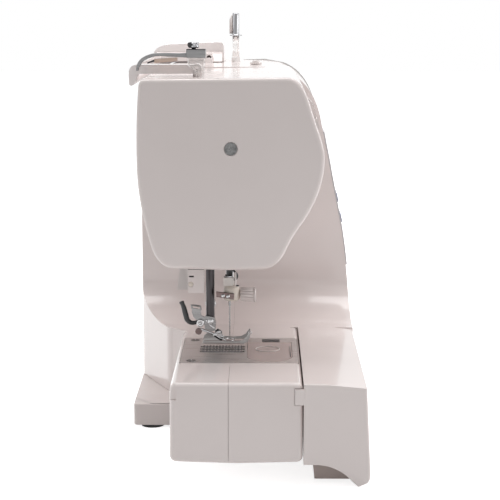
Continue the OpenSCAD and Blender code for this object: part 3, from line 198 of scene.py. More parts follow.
FINISH = {
    LIGHT: "carry_handle top_hump",
    WHITE: "front_casing rear_casing face_cover extension_table handwheel tension_dial",
    WHITE_SATIN: "speed_slider reverse_button needle_position_button clamp_screw buttonhole_lever "
                 "presser_lifter spool_pin stitch_dial",
    PAN_WHITE: "base_pan",
    TRAY_PAINTED_SHADE: "accessory_tray",
    PANEL: "control_panel",
    BLACK: "cover_latch bobbin_case power_switch power_inlet drop_feed_lever foot_release_lever",
    RUBBER: "rubber_feet timing_belt drive_belt",
    CREAM: "needle_clamp",
    KEYS: "stitch_buttons",
    GREEN: "start_stop_button",
    BOARD: "control_board",
    PLATE_STEEL: "needle_plate",
    SATIN_STEEL: "thread_guide foot_holder",
    SCREW_STEEL: "cover_screws",
    BRIGHT: "needle_bar winder_spindle holder_screw presser_foot",
    STEEL: "upper_shaft lower_shaft rotary_hook needle_bar_link take_up_lever presser_spring "
           "motor_pulley",
    CAST: "frame_casting needle_bar_frame feed_bar",
    DARK: "presser_bar pretension_disc",
    SATIN_DARK: "needle",
    DOG_STEEL: "feed_dogs",
    BRONZE: "shaft_bushings",
    MOTOR: "motor",
    CLEAR: "bobbin_cover bobbin",
    LENS: "lamp_lens",
    DISPLAY: "display_window",
}


def dress_nodes():
    """Materials and softened edges on the CAD nodes."""
    for material, names in FINISH.items():
        for name in names.split():
            node = nodes[name]
            node.data.materials.clear()
            node.data.materials.append(material)
            for polygon in node.data.polygons:
                polygon.use_smooth = True
            weld = node.modifiers.new("weld", "WELD")
            weld.merge_threshold = 1e-6
            soften(node, 0.25, segments=2)


# ---------------------------------------------------------------- stage
LAMPS = (  # name, place, what it points at, size in metres, watts
    ("front", (-1.3, -0.5, 1.2), (0, 0, 0.15), (0.9, 0.7), 0.45),
    ("right", (-0.05, -1.4, 0.75), (0, 0, 0.15), (0.6, 0.9), 7.5),
    ("left", (-0.05, 1.4, 0.9), (0, 0, 0.15), (0.6, 0.9), 3),
    ("top", (0.2, 0, 1.7), (0, 0, 0.1), (1.8, 1.2), 22),
)
WORLD_LIGHT = 0.36  # what the world lends as light; it looks white itself
FLOOR_GREY = 0.8


def add_lamp(name, at, target, size, power):
    data = bpy.data.lights.new(name, "AREA")
    data.shape = "RECTANGLE"
    data.size, data.size_y = size
    data.energy = power
    light = bpy.data.objects.new(name, data)
    light.location = at
    light.rotation_euler = (Vector(target) - Vector(at)).to_track_quat("-Z", "Y").to_euler()
    scene.collection.objects.link(light)


def seen_directly(tree, path):
    """1 for the rays that look at the backdrop straight, by reflection or through clear parts."""
    total = path.outputs["Is Camera Ray"]
    for name in ("Is Glossy Ray", "Is Transmission Ray"):
        node = tree.nodes.new("ShaderNodeMath")
        node.operation = "MAXIMUM"
        tree.links.new(total, node.inputs[0])
        tree.links.new(path.outputs[name], node.inputs[1])
        total = node.outputs["Value"]
    return total


def make_floor():
    """A pale floor that looks white but keeps the shadow."""
    bpy.ops.mesh.primitive_plane_add(size=12, location=(0, 0, 0))
    floor = bpy.context.object
    floor.name = "floor"
    material, tree, shader = new_material("pale_floor")
    shader.inputs["Base Color"].default_value = (FLOOR_GREY, FLOOR_GREY, FLOOR_GREY, 1)
    shader.inputs["Roughness"].default_value = 0.9
    glow = tree.nodes.new("ShaderNodeEmission")
    glow.inputs["Strength"].default_value = FLOOR_GREY
    both = tree.nodes.new("ShaderNodeAddShader")
    path = tree.nodes.new("ShaderNodeLightPath")
    pick = tree.nodes.new("ShaderNodeMixShader")
    output = tree.nodes["Material Output"]
    tree.links.new(shader.outputs["BSDF"], both.inputs[0])
    tree.links.new(glow.outputs["Emission"], both.inputs[1])
    tree.links.new(seen_directly(tree, path), pick.inputs["Fac"])
    tree.links.new(shader.outputs["BSDF"], pick.inputs[1])
    tree.links.new(both.outputs["Shader"], pick.inputs[2])
    tree.links.new(pick.outputs["Shader"], output.inputs["Surface"])
    floor.data.materials.append(material)


def make_world():
    world = bpy.data.worlds.new("studio")
    scene.world = world
    world.use_nodes = True
    tree = world.node_tree
    background = tree.nodes["Background"]
    path = tree.nodes.new("ShaderNodeLightPath")
    shown = seen_directly(tree, path)
    level = tree.nodes.new("ShaderNodeMapRange")
    level.inputs["To Min"].default_value = WORLD_LIGHT
    level.inputs["To Max"].default_value = 1.0
    tree.links.new(shown, level.inputs["Value"])
    background.inputs["Color"].default_value = (1, 1, 1, 1)
    tree.links.new(level.outputs["Result"], background.inputs["Strength"])


# ---------------------------------------------------------------- mesh helpers, in millimetres
ALONG_X = (1, 0, 0)
UPWARDS = (0, 0, 1)


def add_piece(name, bm, material, body, replaces=(), edge=0.0, angle=SHARP, segments=3):
    """A mesh piece from bm, which was built in millimetres in the part's frame."""
    bmesh.ops.remove_doubles(bm, verts=bm.verts, dist=0.0005)
    bmesh.ops.recalc_face_normals(bm, faces=bm.faces)
    bmesh.ops.scale(bm, vec=(MM, MM, MM), verts=bm.verts)
    mesh = bpy.data.meshes.new(name)
    bm.to_mesh(mesh)
    bm.free()
    mesh.materials.append(material)
    for polygon in mesh.polygons:
        polygon.use_smooth = True
    piece = bpy.data.objects.new(name, mesh)
    scene.collection.objects.link(piece)
    if edge:
        soften(piece, edge, angle, segments)
    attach(piece, body)
    if replaces:
        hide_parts(*replaces)
    return piece


def soften(piece, width, angle=SHARP, segments=3):
    bevel = piece.modifiers.new("soft_edges", "BEVEL")
    bevel.width = width * MM
    bevel.segments = segments
    bevel.limit_method = "ANGLE"
    bevel.angle_limit = math.radians(angle)
    weighted = piece.modifiers.new("even_normals", "WEIGHTED_NORMAL")
    weighted.keep_sharp = True


def weigh_edges(piece, joints):
    """Rounds the sharp edges of a casing, but those in its closed joints only a little."""
    bm = bmesh.new()
    bm.from_mesh(piece.data)
    layer = bm.edges.layers.float.new("bevel_weight_edge")
    for edge in bm.edges:
        if len(edge.link_faces) == 2 and edge.calc_face_angle() > math.radians(SHARP):
            closed = any(all(abs(vert.co[axis] / MM - at) < 0.5 for vert in edge.verts)
                         for axis, at in joints)
            edge[layer] = JOINT_WEIGHT if closed else 1.0
    bm.to_mesh(piece.data)
    bm.free()
    piece.modifiers["soft_edges"].limit_method = "WEIGHT"


def add_loops(bm, loops):
    """Quads between successive closed loops of points, with the first and last filled."""
    rings = [[bm.verts.new(point) for point in loop] for loop in loops]
    count = len(rings[0])
    for low, high in zip(rings, rings[1:]):
        for i in range(count):
            j = (i + 1) % count
            bm.faces.new((low[i], low[j], high[j], high[i]))
    bm.faces.new(rings[0][::-1])
    bm.faces.new(rings[-1])


def add_prism(bm, outline, axis, low, high):
    """outline is (Y, Z) for axis x, (X, Z) for axis y and (X, Y) for axis z."""
    def at(point, level):
        a, b = point
        return {"x": (level, a, b), "y": (a, level, b), "z": (a, b, level)}[axis]
    add_loops(bm, [[at(p, low) for p in outline], [at(p, high) for p in outline]])


def round_loop(centre, side, other, radius, count):
    return [centre + (side * math.cos(2 * math.pi * i / count)
                      + other * math.sin(2 * math.pi * i / count)) * radius for i in range(count)]


def add_lathe(bm, profile, origin, axis, sides=48):
    """profile is (distance along the axis, radius) pairs, turned about axis through origin."""
    axis = Vector(axis).normalized()
    side = axis.orthogonal().normalized()
    other = axis.cross(side)
    origin = Vector(origin)
    add_loops(bm, [round_loop(origin + axis * along, side, other, radius, sides)
                   for along, radius in profile])


def add_tube(bm, points, radius, sides=16):
    """A round rod along points, with rounded ends."""
    points = [Vector(p) for p in points]
    start = (points[0] - points[1]).normalized()
    end = (points[-1] - points[-2]).normalized()
    dome = [(step, radius * math.sqrt(max(0.0, 1 - step * step)) + 0.001)
            for step in (1.0, 0.92, 0.7, 0.38)]
    path = [(points[0] + start * radius * step, r) for step, r in dome]
    path += [(point, radius) for point in points]
    path += [(points[-1] + end * radius * step, r) for step, r in dome[::-1]]
    loops = []
    normal = None
    for i, (point, r) in enumerate(path):
        ahead = path[min(i + 1, len(path) - 1)][0]
        behind = path[max(i - 1, 0)][0]
        tangent = (ahead - behind).normalized()
        if normal is None:
            normal = tangent.orthogonal().normalized()
        normal = (normal - tangent * normal.dot(tangent)).normalized()
        loops.append(round_loop(point, normal, tangent.cross(normal), r, sides))
    add_loops(bm, loops)


def curve(points, steps=8):
    """A smooth path through points."""
    points = [Vector(p) for p in points]
    ends = [points[0] * 2 - points[1]] + points + [points[-1] * 2 - points[-2]]
    path = []
    for a, b, c, d in zip(ends, ends[1:], ends[2:], ends[3:]):
        for i in range(steps):
            t = i / steps
            path.append(0.5 * ((2 * b) + (c - a) * t + (2 * a - 5 * b + 4 * c - d) * t * t
                               + (3 * b - a - 3 * c + d) * t * t * t))
    path.append(points[-1])
    return path


def flat_curve(points, steps=4):
    """A smooth path through (a, b) points."""
    return [(p.x, p.y) for p in curve([(a, b, 0) for a, b in points], steps)]


def bend(a, b, c, steps=14):
    """A curve from a, which it leaves out, towards b, to c."""
    path = []
    for t in (i / steps for i in range(1, steps + 1)):
        path.append(tuple((1 - t) ** 2 * p + 2 * t * (1 - t) * q + t * t * r
                          for p, q, r in zip(a, b, c)))
    return path


def corner(a, b, c, steps=8):
    """A quarter arc from a, which it leaves out, round the corner b to c."""
    path = []
    for t in (math.radians(90 * i / steps) for i in range(1, steps + 1)):
        path.append(tuple(q + (p - q) * (1 - math.sin(t)) + (r - q) * (1 - math.cos(t))
                          for p, q, r in zip(a, b, c)))
    return path


def run(start, *parts):
    """An outline from start: a part is a point, or (shape, towards, to[, steps]) on from there."""
    points = [start]
    for part in parts:
        if callable(part[0]):
            points += part[0](points[-1], *part[1:])
        else:
            points.append(part)
    return points


def angles(count, step):
    """count angles from 0 in radians, step degrees apart."""
    return [math.radians(step * k) for k in range(count)]


# ---------------------------------------------------------------- body outlines, in millimetres
# X: ends of the machine, face of the head, left side of the column; where the table's recess,
# the base pan and the free arm's root begin. Y: front, rear and the joint of the two casings.
X_LEFT, X_RIGHT, X_FACE, X_COL = -211.0, 194.0, -153.0, 28.0
X_TABLE, X_PLINTH, X_BRIDGE = -31.0, -70.0, -32.0
Y_FRONT, Y_REAR, Y_PART = -90.25, 87.75, 9.25
ARM_FRONT, ARM_REAR, BED_LOW, BED_TOP = -42.5, 50.0, 17.0, 73.0
HEAD_FRONT, HEAD_REAR, HEAD_LOW, TOP = -58.6, 75.4, 142.5, 280.5
PLINTH_TOP, SEAM, WALL, TABLE_WALL, FACE_T = 19.6, 0.3, 2.6, 2.4, 2.4
JOINT_GAP = 0.08
HANDLE_AXIS = (34, 281.4)


def inset(points, distance):
    """A clockwise outline moved inwards."""
    moved = []
    for a, b, c in zip(points[-1:] + points[:-1], points, points[1:] + points[:1]):
        u = (Vector(b) - Vector(a)).normalized()
        v = (Vector(c) - Vector(b)).normalized()
        n, m = Vector((u.y, -u.x)), Vector((v.y, -v.x))
        p = Vector(b) + (n + m) * (distance / (1 + n.dot(m)))
        moved.append((p.x, p.y))
    return moved


def head_outline():
    r, f, lo, hi = HEAD_REAR, HEAD_FRONT, HEAD_LOW, TOP
    return run((r - 1.7, hi - 6),
               (bend, (r + 0.8, hi - 35), (r, hi - 66.5)),
               (bend, (r - 0.8, lo + 47.5), (r - 8.9, lo + 19.5)),
               (bend, (r - 13.4, lo + 2), (r - 25.4, lo + 1.3)),
               (f + 70, lo), (f + 44.6, lo + 0.7),
               (bend, (f + 35.1, lo + 0.8), (f + 28.6, lo + 12.1)),
               (bend, (f + 24.1, lo + 23), (f + 16.6, lo + 33.1)),
               (bend, (f + 0.2, lo + 56.5), (f, lo + 80.7)),
               (bend, (f, hi - 49), (f + 5.6, hi - 35)),
               (f + 10.5, hi - 19.7),
               (bend, (f + 16.1, hi), (f + 27, hi)),
               (r - 7.4, hi - 1.1),
               (bend, (r - 2.2, hi - 1.2), (r - 1.7, hi - 6)))[:-1]


def column_outline():
    r, f, hi = Y_REAR, Y_FRONT, TOP
    return run((r - 26, hi),
               (bend, (r - 2, hi - 4), (r, hi - 60)),
               (r, 3), (f + 0.4, 3), (f + 2.5, 60),
               (bend, (f + 2.9, 103), (f + 9.7, 144)),
               (f + 28.5, hi - 40.5),
               (bend, (f + 36, hi - 9.5), (f + 61, hi - 2)),
               (f + 75, hi))


def arm_outline():
    f, r, lo, hi = ARM_FRONT, ARM_REAR, BED_LOW, BED_TOP
    return run((r - 5, hi),
               (corner, (r, hi), (r, hi - 5)),
               (r, lo + 5),
               (corner, (r, lo + 0.6), (r - 5, lo + 0.6)),
               (f + 46, lo - 0.5), (f + 4.2, lo + 0.6),
               (corner, (f, lo + 0.6), (f, lo + 4.8)),
               (f, hi - 4),
               (corner, (f, hi), (f + 4, hi)))


def base_outline():
    r, f, k = Y_REAR, Y_FRONT, 16
    return run((X_COL - 76, ARM_REAR - 6), (X_COL - 62.2, r - 29.5),
               (bend, (X_COL - 61, r - 26), (X_COL - 55, r - 23.3), 6),
               (X_COL - 9, r - 2.7),
               (bend, (X_COL - 3.5, r), (X_COL, r), 6),
               (X_RIGHT - k, r),
               (bend, (X_RIGHT, r), (X_RIGHT, r - k), 12),
               (X_RIGHT, f + k),
               (bend, (X_RIGHT, f), (X_RIGHT - k, f), 12),
               (X_TABLE + SEAM, f), (X_TABLE + SEAM, ARM_FRONT + 6), (X_COL - 76, ARM_FRONT + 6))


def side_outline(w):
    """Side view, w inside the surface, with the round throat between bed and column."""
    a, b, hi = 50, 29, TOP
    points = [(X_LEFT - 1, BED_TOP - w), (X_COL - a, BED_TOP - w)]
    for step in range(1, 25):
        t = math.radians(step * 90 / 24)
        points.append((X_COL - a + (a + w) * math.sin(t), BED_TOP + b - (b + w) * math.cos(t)))
    return points + [(X_COL + w, hi - w), (X_RIGHT - w, hi - w), (X_RIGHT - w, BED_LOW),
                     (X_LEFT - 1, BED_LOW)]


def table_outline():
    f, r, hi = Y_FRONT, ARM_FRONT - 0.5, BED_TOP
    arch = flat_curve([(f + 9.4, 0.5), (f + 13.1, 3.9), (f + 17.9, 8.6), (f + 23.8, 12.2),
                       (f + 29.8, 14.6), (f + 36.9, 15.8)])
    return run((r, hi), (f + 5.5, hi),
               (bend, (f + 3.6, hi - 0.1), (f + 3.4, hi - 3), 6),
               (f + 0.4, 9.2),
               (bend, (f + 0.3, 4.5), (f + 2.6, 2.6), 8),
               (f + 8.4, 0.2), (f + 9.4, 0.5), *arch[1:], (r, 15.8))


# ---------------------------------------------------------------- cutting, in millimetres
def as_object(name, bm):
    """A loose object, in millimetres, for cutting."""
    bmesh.ops.recalc_face_normals(bm, faces=bm.faces)
    mesh = bpy.data.meshes.new(name)
    bm.to_mesh(mesh)
    bm.free()
    made = bpy.data.objects.new(name, mesh)
    scene.collection.objects.link(made)
    return made


def solid(name, *prisms):
    """A loose object of one or more prisms (outline, axis, low, high)."""
    bm = bmesh.new()
    for prism in prisms:
        add_prism(bm, *prism)
    return as_object(name, bm)


def combine(target, tool, operation):
    """target joined with, cut by or kept inside tool, which is used up."""
    step = target.modifiers.new("step", "BOOLEAN")
    step.operation = operation
    step.solver = "EXACT"
    step.object = tool
    depsgraph = bpy.context.evaluated_depsgraph_get()
    mesh = bpy.data.meshes.new_from_object(target.evaluated_get(depsgraph))
    target.modifiers.clear()
    target.data = mesh
    bpy.data.objects.remove(tool)
    return target


def cut(target, *prisms):
    return combine(target, solid("cut", *prisms), "DIFFERENCE")


def keep(target, *prisms):
    return combine(target, solid("keep", *prisms), "INTERSECT")


def join(target, *prisms):
    return combine(target, solid("join", *prisms), "UNION")


def box_of(low, high):
    """The prism of a box between two corners."""
    x0, y0, z0 = low
    x1, y1, z1 = high
    return [(y0, z0), (y0, z1), (y1, z1), (y1, z0)], "x", x0, x1


def disc(a, b, radius, sides=48):
    return [(a + radius * math.sin(2 * math.pi * i / sides),
             b + radius * math.cos(2 * math.pi * i / sides)) for i in range(sides)]


def make_body(w):
    """The whole closed body, w inside its outer surface."""
    column = solid("column", (inset(base_outline(), w), "z", BED_LOW, TOP + 1))
    keep(column, (side_outline(w), "y", Y_FRONT - 1, Y_REAR + 1))
    keep(column, (inset(column_outline(), w), "x", X_LEFT, X_RIGHT))
    if w:
        join(column, (inset(arm_outline(), w), "x", X_LEFT + w + 6, X_BRIDGE))
    else:
        combine(column, rounded_arm(), "UNION")
    # the hollow runs out through the open end behind the face cover
    low = X_FACE + FACE_T + (-5 if w else 0)
    return join(column, (inset(head_outline(), w), "x", low, X_COL + 35 - w))


def lean(x, reach, z):
    """The left end leans in by reach at the top of the bed."""
    if x > X_LEFT + 20:
        return x
    return x + reach * max(0, z - BED_LOW) / (BED_TOP - BED_LOW)


def leaning_prism(name, outline, radius, steps, right, reach):
    """outline run along X to right, with a rounded left end that leans in by reach(y)."""
    turns = [math.radians(90 - 90 / steps * i) for i in range(steps + 1)]
    levels = [(X_LEFT + radius * (1 - math.sin(t)), radius * (1 - math.cos(t))) for t in turns]
    loops = []
    for x, depth in levels + [(right, 0)]:
        section = inset(outline, depth) if depth else outline
        loops.append([(lean(x, reach(y), z), y, z) for y, z in section])
    bm = bmesh.new()
    add_loops(bm, loops)
    return as_object(name, bm)


def rounded_arm():
    """The free arm with a rounded left end."""
    return leaning_prism("arm", arm_outline(), 3.2, 8, X_BRIDGE, lambda y: 6)


def finish_piece(made, name, material, body, replaces=(), edge=0.0, angle=SHARP,
                 segments=3):
    """Turns a cut object, in millimetres, into a piece."""
    bm = bmesh.new()
    bm.from_mesh(made.data)
    bpy.data.objects.remove(made)
    return add_piece(name, bm, material, body, replaces, edge, angle, segments)


def end_joint():
    """Side view of the thin groove between the casings, on the arm's end and along its top."""
    return [(X_LEFT - 1, BED_LOW - 1), (X_LEFT + 1, BED_LOW - 1), (X_LEFT + 7, BED_TOP - 0.4),
            (-162, BED_TOP - 0.4), (-162, BED_TOP + 1), (X_LEFT - 1, BED_TOP + 1)]


def make_casings():
    """The two halves of the moulded casing, hollow, with all their openings."""
    shell = make_body(0)
    # notch and window for the hooks of the table
    cut(shell, box_of((-212, -43.5, 57.4), (-203.5, -36.7, 69.5)))
    cut(shell, box_of((-212, 45.6, 61), (-204.6, 51, 68)))
    combine(shell, make_body(WALL), "DIFFERENCE")
    over_pan = PLINTH_TOP + SEAM
    openings = [
        # base pan
        box_of((X_PLINTH - 0.5, ARM_FRONT - 1, 0), (X_RIGHT + 1, Y_REAR + 1, over_pan)),
        box_of((X_TABLE - 5, Y_FRONT - 1, 0), (X_RIGHT + 1, ARM_FRONT, over_pan)),
        # needle plate, open underside of the head, take-up slots, tension dial
        box_of((-148.6, -41.1, 67), (-69, 46.5, 74)),
        box_of((-143.5, -5.75, 140.5), (-78.5, 51.25, 146.5)),
        box_of((-125.5, -60.6, 162.5), (-118.5, -28.6, 254.5)),
        box_of((-108.2, -60.6, 162.5), (-101.2, -28.6, 254.5)),
        box_of((-93, -62.6, 231.9), (-82, -35.1, 267.1)),
        # open joint of the two casings on the end of the free arm
        box_of((X_LEFT - 1, Y_PART - 0.2, BED_LOW - 1), (X_LEFT + 1.2, Y_PART + 0.2, BED_LOW + 8)),
        (end_joint(), "y", Y_PART - 0.2, Y_PART + 0.2),
        # speed slider, window
        box_of((-21.5, -64.6, 234.6), (22.5, -38.6, 237.4)),
        box_of((84, -91, 186), (126, -50, 210)),
        # switch, inlet, feed lever
        box_of((188, 35.7, 70.7), (195, 54.3, 85.3)),
        box_of((188, 33.7, 43.7), (195, 56.3, 60.3)),
        box_of((-119.5, 44, 41), (-91.5, 51, 47)),
        # shaft, buttons, winder and spool pin
        (disc(10.5, 235, 8), "x", 188, 195),
        (disc(-71.5, 196, 7.8), "y", -91, 0),
        (disc(-49.5, 196, 6.8), "y", -91, 0),
        (disc(-29.5, 196, 6.8), "y", -91, 0),
        (disc(139, 10.5, 4.4), "z", 272, 283),
        (disc(79, -8, 3.3), "z", 272, 283),
    ]
    for opening in openings:
        cut(shell, opening)
    for name, node, low, high in (
            ("front_shell", "front_casing", Y_FRONT - 1, Y_PART - JOINT_GAP / 2),
            ("rear_shell", "rear_casing", Y_PART + JOINT_GAP / 2, Y_REAR + 1)):
        half = shell.copy()
        scene.collection.objects.link(half)
        keep(half, box_of((X_LEFT - 1, low, 0), (X_RIGHT + 1, high, TOP + 1)))
        half = finish_piece(half, name, WHITE, "machine", (node,), edge=0.5)
        weigh_edges(half, [(0, X_TABLE + SEAM), (1, Y_PART)])
    bpy.data.objects.remove(shell)


def make_table():
    """The clip-on extension table, with the soft crease across its top."""
    right = X_TABLE + SEAM - 0.05
    table = leaning_prism("table", table_outline()[::-1], 1.6, 6, right,
                          lambda y: 1.2 + 2.8 * (y - Y_FRONT) / (ARM_FRONT - Y_FRONT))
    rear, front, top = ARM_FRONT - 0.8, Y_FRONT + 0.6, BED_TOP - TABLE_WALL
    inner = [(rear - TABLE_WALL, top), (Y_FRONT + 3.2 + TABLE_WALL, top - 0.9),
             (front + TABLE_WALL, -1), (rear - TABLE_WALL, -1)]
    cut(table, (inner, "x", X_LEFT + TABLE_WALL + 3, X_TABLE - TABLE_WALL))
    loops = []
    for x, y in flat_curve([(-216, -55.4), (-197, -55.8), (-152, -59), (-109, -63), (-85, -65.7),
                            (-37, -71.5), (-3, -77.5), (10, -80)]):
        drop = (y - Y_FRONT + 2) * 0.075
        loops.append([(x, y, BED_TOP), (x, Y_FRONT - 2, BED_TOP - drop),
                      (x, Y_FRONT - 2, BED_TOP + 3), (x, y, BED_TOP + 3)])
    bm = bmesh.new()
    add_loops(bm, loops)
    combine(table, as_object("wedge", bm), "DIFFERENCE")
    join(table, box_of((X_LEFT + 3.4, ARM_FRONT - 1.5, 58), (X_LEFT + 6.6, ARM_FRONT + 5.5, 69)))
    table = finish_piece(table, "table_shell", WHITE, "table", ("extension_table",),
                         edge=0.35, angle=28)
    weigh_edges(table, [(0, right)])


def make_pan_corner():
    """The rounded corner of the base pan at the left and the back, over its foot."""
    y, x = Y_REAR, X_PLINTH - 0.6
    bm = bmesh.new()
    add_prism(bm, run((x, 44), (x, y - 3.5), (bend, (x, y), (x + 3.5, y), 8), (-52, y),
                      (-52, y - 3), (-60, y - 10), (-67, y - 16), (-67, 44)), "z", 2.3, PLINTH_TOP)
    add_piece("pan_corner", bm, PAN_WHITE, "machine", edge=0.8)


def make_body_fittings():
    """Handle lugs and the axle of the tension dial, moulded on the casings."""
    y, z = HANDLE_AXIS
    lug = [(30.5, 276)] + bend((30.5, z), (30.5, 284.9), (y, 284.9), 6)
    lug += bend((y, 284.9), (37.5, 284.9), (37.5, z), 6) + [(37.5, 276)]
    bm = bmesh.new()
    for x, out in ((-98.7, -1), (116.7, 1)):
        add_prism(bm, lug, "x", x - 2, x + 2)
        add_lathe(bm, [(0, 2.0), (out * 15, 2.0)], (x, y, z), ALONG_X, 24)
    add_piece("handle_lugs", bm, LIGHT, "machine", edge=0.25)
    bm = bmesh.new()
    add_lathe(bm, [(-7, 3), (7, 3)], (-87.5, -37.12, 249.5), ALONG_X, 32)
    add_piece("dial_axle", bm, WHITE_SATIN, "machine", edge=0.2)


# ---------------------------------------------------------------- trim, in millimetres
X_NEEDLE = -105.5
SCREW_AT = (8.35, 230.3)
WINDER_AT = (139, 10.5, 0)


def make_face_cover():
    """The end cover, with its softly rounded rim and the recess of its screw."""
    outline = head_outline()
    levels = [(X_FACE + FACE_T + 3.5, 2.9), (X_FACE + FACE_T - 0.1, 2.9),
              (X_FACE + FACE_T - 0.1, 0.12)]
    for i in range(9):
        t = math.radians(90 * i / 8)
        levels.append((X_FACE + (FACE_T - 0.2) * (1 - math.sin(t)), 0.12 + 3.4 * (1 - math.cos(t))))
    bm = bmesh.new()
    add_loops(bm, [[(x, y, z) for y, z in inset(outline, d)] for x, d in levels])
    cover = as_object("cover", bm)
    cut(cover, (disc(*SCREW_AT, 5.0, 64), "x", X_FACE - 1, X_FACE + 1.3))
    finish_piece(cover, "end_cover", WHITE, "machine", ("face_cover",), edge=0.22,
                 angle=40, segments=2)
    bm = bmesh.new()
    add_lathe(bm, [(0.9, 4.5), (0.1, 4.5), (-0.25, 4.2), (-0.55, 3.4), (-0.7, 2.0), (-0.74, 0.02)],
              (X_FACE + 0.9, *SCREW_AT), ALONG_X)
    screw = as_object("screw", bm)
    y, z = SCREW_AT
    for tilt in (20, 110):
        c, s = math.cos(math.radians(tilt)), math.sin(math.radians(tilt))
        slot = [(y + a * c - b * s, z + a * s + b * c)
                for a, b in ((-2.7, -0.55), (-2.7, 0.55), (2.7, 0.55), (2.7, -0.55))]
        cut(screw, (slot, "x", X_FACE - 1, X_FACE + 0.75))
    finish_piece(screw, "cover_screw_head", SCREW_STEEL, "machine", edge=0.08,
                 angle=30, segments=2)


def make_buttonhole_lever():
    """The white pull lever under the head, with its slot and its dot."""
    x = X_NEEDLE - 27
    bm = bmesh.new()
    add_prism(bm, [(28.7, 139.4), (28.7, 121.9), (40.6, 121.9), (40.6, 139.4)], "x", x, x + 3)
    add_prism(bm, [(34.6, 138), (34.6, 185), (38.6, 185), (38.6, 138)], "x", x + 0.4, x + 2.6)
    lever = as_object("lever", bm)
    cut(lever, box_of((x - 1, 36.2, 133.7), (x + 0.8, 39.8, 134.9)))
    cut(lever, (disc(38.4, 128.4, 2.2, 32), "x", x - 1, x + 0.35))
    finish_piece(lever, "pull_lever", WHITE, "buttonhole", ("buttonhole_lever",),
                 edge=0.35, angle=28)
    bm = bmesh.new()
    add_lathe(bm, [(0.4, 1.9), (0.1, 1.7), (0.1, 0.02)], (x, 38.4, 128.4), ALONG_X, 24)
    add_piece("lever_dot", bm, CREAM, "buttonhole")
    bm = bmesh.new()
    add_prism(bm, [(36.3, 133.8), (36.3, 134.8), (39.7, 134.8), (39.7, 133.8)], "x", x + 0.5,
              x + 0.9)
    add_piece("lever_slot", bm, DARK, "buttonhole")


def make_needle_parts():
    """Threader, collar, clamp bar and clamp knob of the needle bar."""
    x = X_NEEDLE
    make_threader(x)
    make_clamp(x)


def make_threader(x):
    bm = bmesh.new()
    add_prism(bm, [(8.3, 130), (12.7, 130), (12.7, 139.5), (8.3, 139.5)], "x", x - 3.9, x - 3.2)
    add_prism(bm, [(9, 130), (13.8, 130), (13.8, 130.9), (9, 130.9)], "x", x - 3, x + 1)
    hook = [(x - 2, 7.2, 134), (x - 2, 5.0, 131), (x - 2, 5.3, 128.2), (x - 2, 7.4, 127.2)]
    add_tube(bm, curve(hook), 0.85)
    add_tube(bm, [(x - 3, 5.6, 122.9), (x - 3, 3.9, 122.8)], 0.5)
    add_piece("threader_hook", bm, BLACK, "needle_slide")
    bm = bmesh.new()
    block = [(7.3, 123.1), (7.3, 128.4), (8.2, 129.2), (15.1, 129.2), (15.1, 122.6), (9, 122.6)]
    add_prism(bm, block, "x", x - 3.9, x + 3.9)
    add_piece("threader_block", bm, MILKY, "needle_slide", edge=0.4)
    bm = bmesh.new()
    add_tube(bm, [(x - 3, 6.1, 123.2), (x - 3, 6.1, 132.6)], 0.75)
    add_piece("threader_pin", bm, WHITE_SATIN, "needle_slide")


def make_clamp(x):
    bm = bmesh.new()
    barrel = [(110.9, 3.2), (111.2, 5.0), (112.2, 6.0), (114.6, 6.35), (118.6, 6.35), (121.2, 5.9),
              (122.5, 4.7), (122.9, 3.2)]
    add_lathe(bm, barrel, (x, 8.9, 0), UPWARDS, 64)
    add_piece("clamp_barrel", bm, CREAM, "needle_slide", ("needle_clamp",), edge=0.15)
    bm = bmesh.new()
    add_prism(bm, [(20.5, 119.1), (7.0, 117.5), (7.2, 112.9), (20.4, 115.0)], "x", x - 7.9, x - 5.9)
    add_prism(bm, [(14.8, 118.2), (8.0, 117.4), (8.0, 113.4), (14.8, 114.2)], "x", x - 6.1, x - 3)
    add_piece("clamp_bar", bm, BROWN_STEEL, "needle_slide", edge=0.3)
    bm = bmesh.new()
    for y, z in ((15.2, 115.9), (11.6, 115.5)):
        add_lathe(bm, [(0, 1.55), (-0.5, 1.5), (-0.95, 1.1), (-1.15, 0.5), (-1.2, 0.02)],
                  (x - 7.9, y, z), ALONG_X, 24)
    add_piece("clamp_rivets", bm, BRIGHT, "needle_slide")
    bm = bmesh.new()
    loops = []
    flutes, sides = 14, 168
    for y, radius, depth in ((2.4, 4.6, 0.4), (1.8, 5.2, 0.9), (-7.2, 5.3, 0.9), (-7.5, 4.9, 0.3),
                             (-7.8, 5.5, 0.0), (-8.9, 5.5, 0.0), (-9.3, 5.1, 0.0)):
        loop = []
        for i in range(sides):
            a = math.radians(360 * i / sides)
            reach = radius - depth * max(0, math.cos(flutes * a)) ** 2
            loop.append((x + reach * math.sin(a), y, 115.7 + 0.06 * y + reach * math.cos(a)))
        loops.append(loop)
    add_loops(bm, loops)
    add_piece("clamp_knob_cap", bm, WHITE, "clamp_knob", ("clamp_screw",))


def make_foot_parts():
    """Shank, release lever and sole of the presser foot."""
    x = X_NEEDLE
    make_shank(x)
    make_release_lever(x)
    make_foot_walls(x)
    make_sole(x)
    make_foot_trim(x)


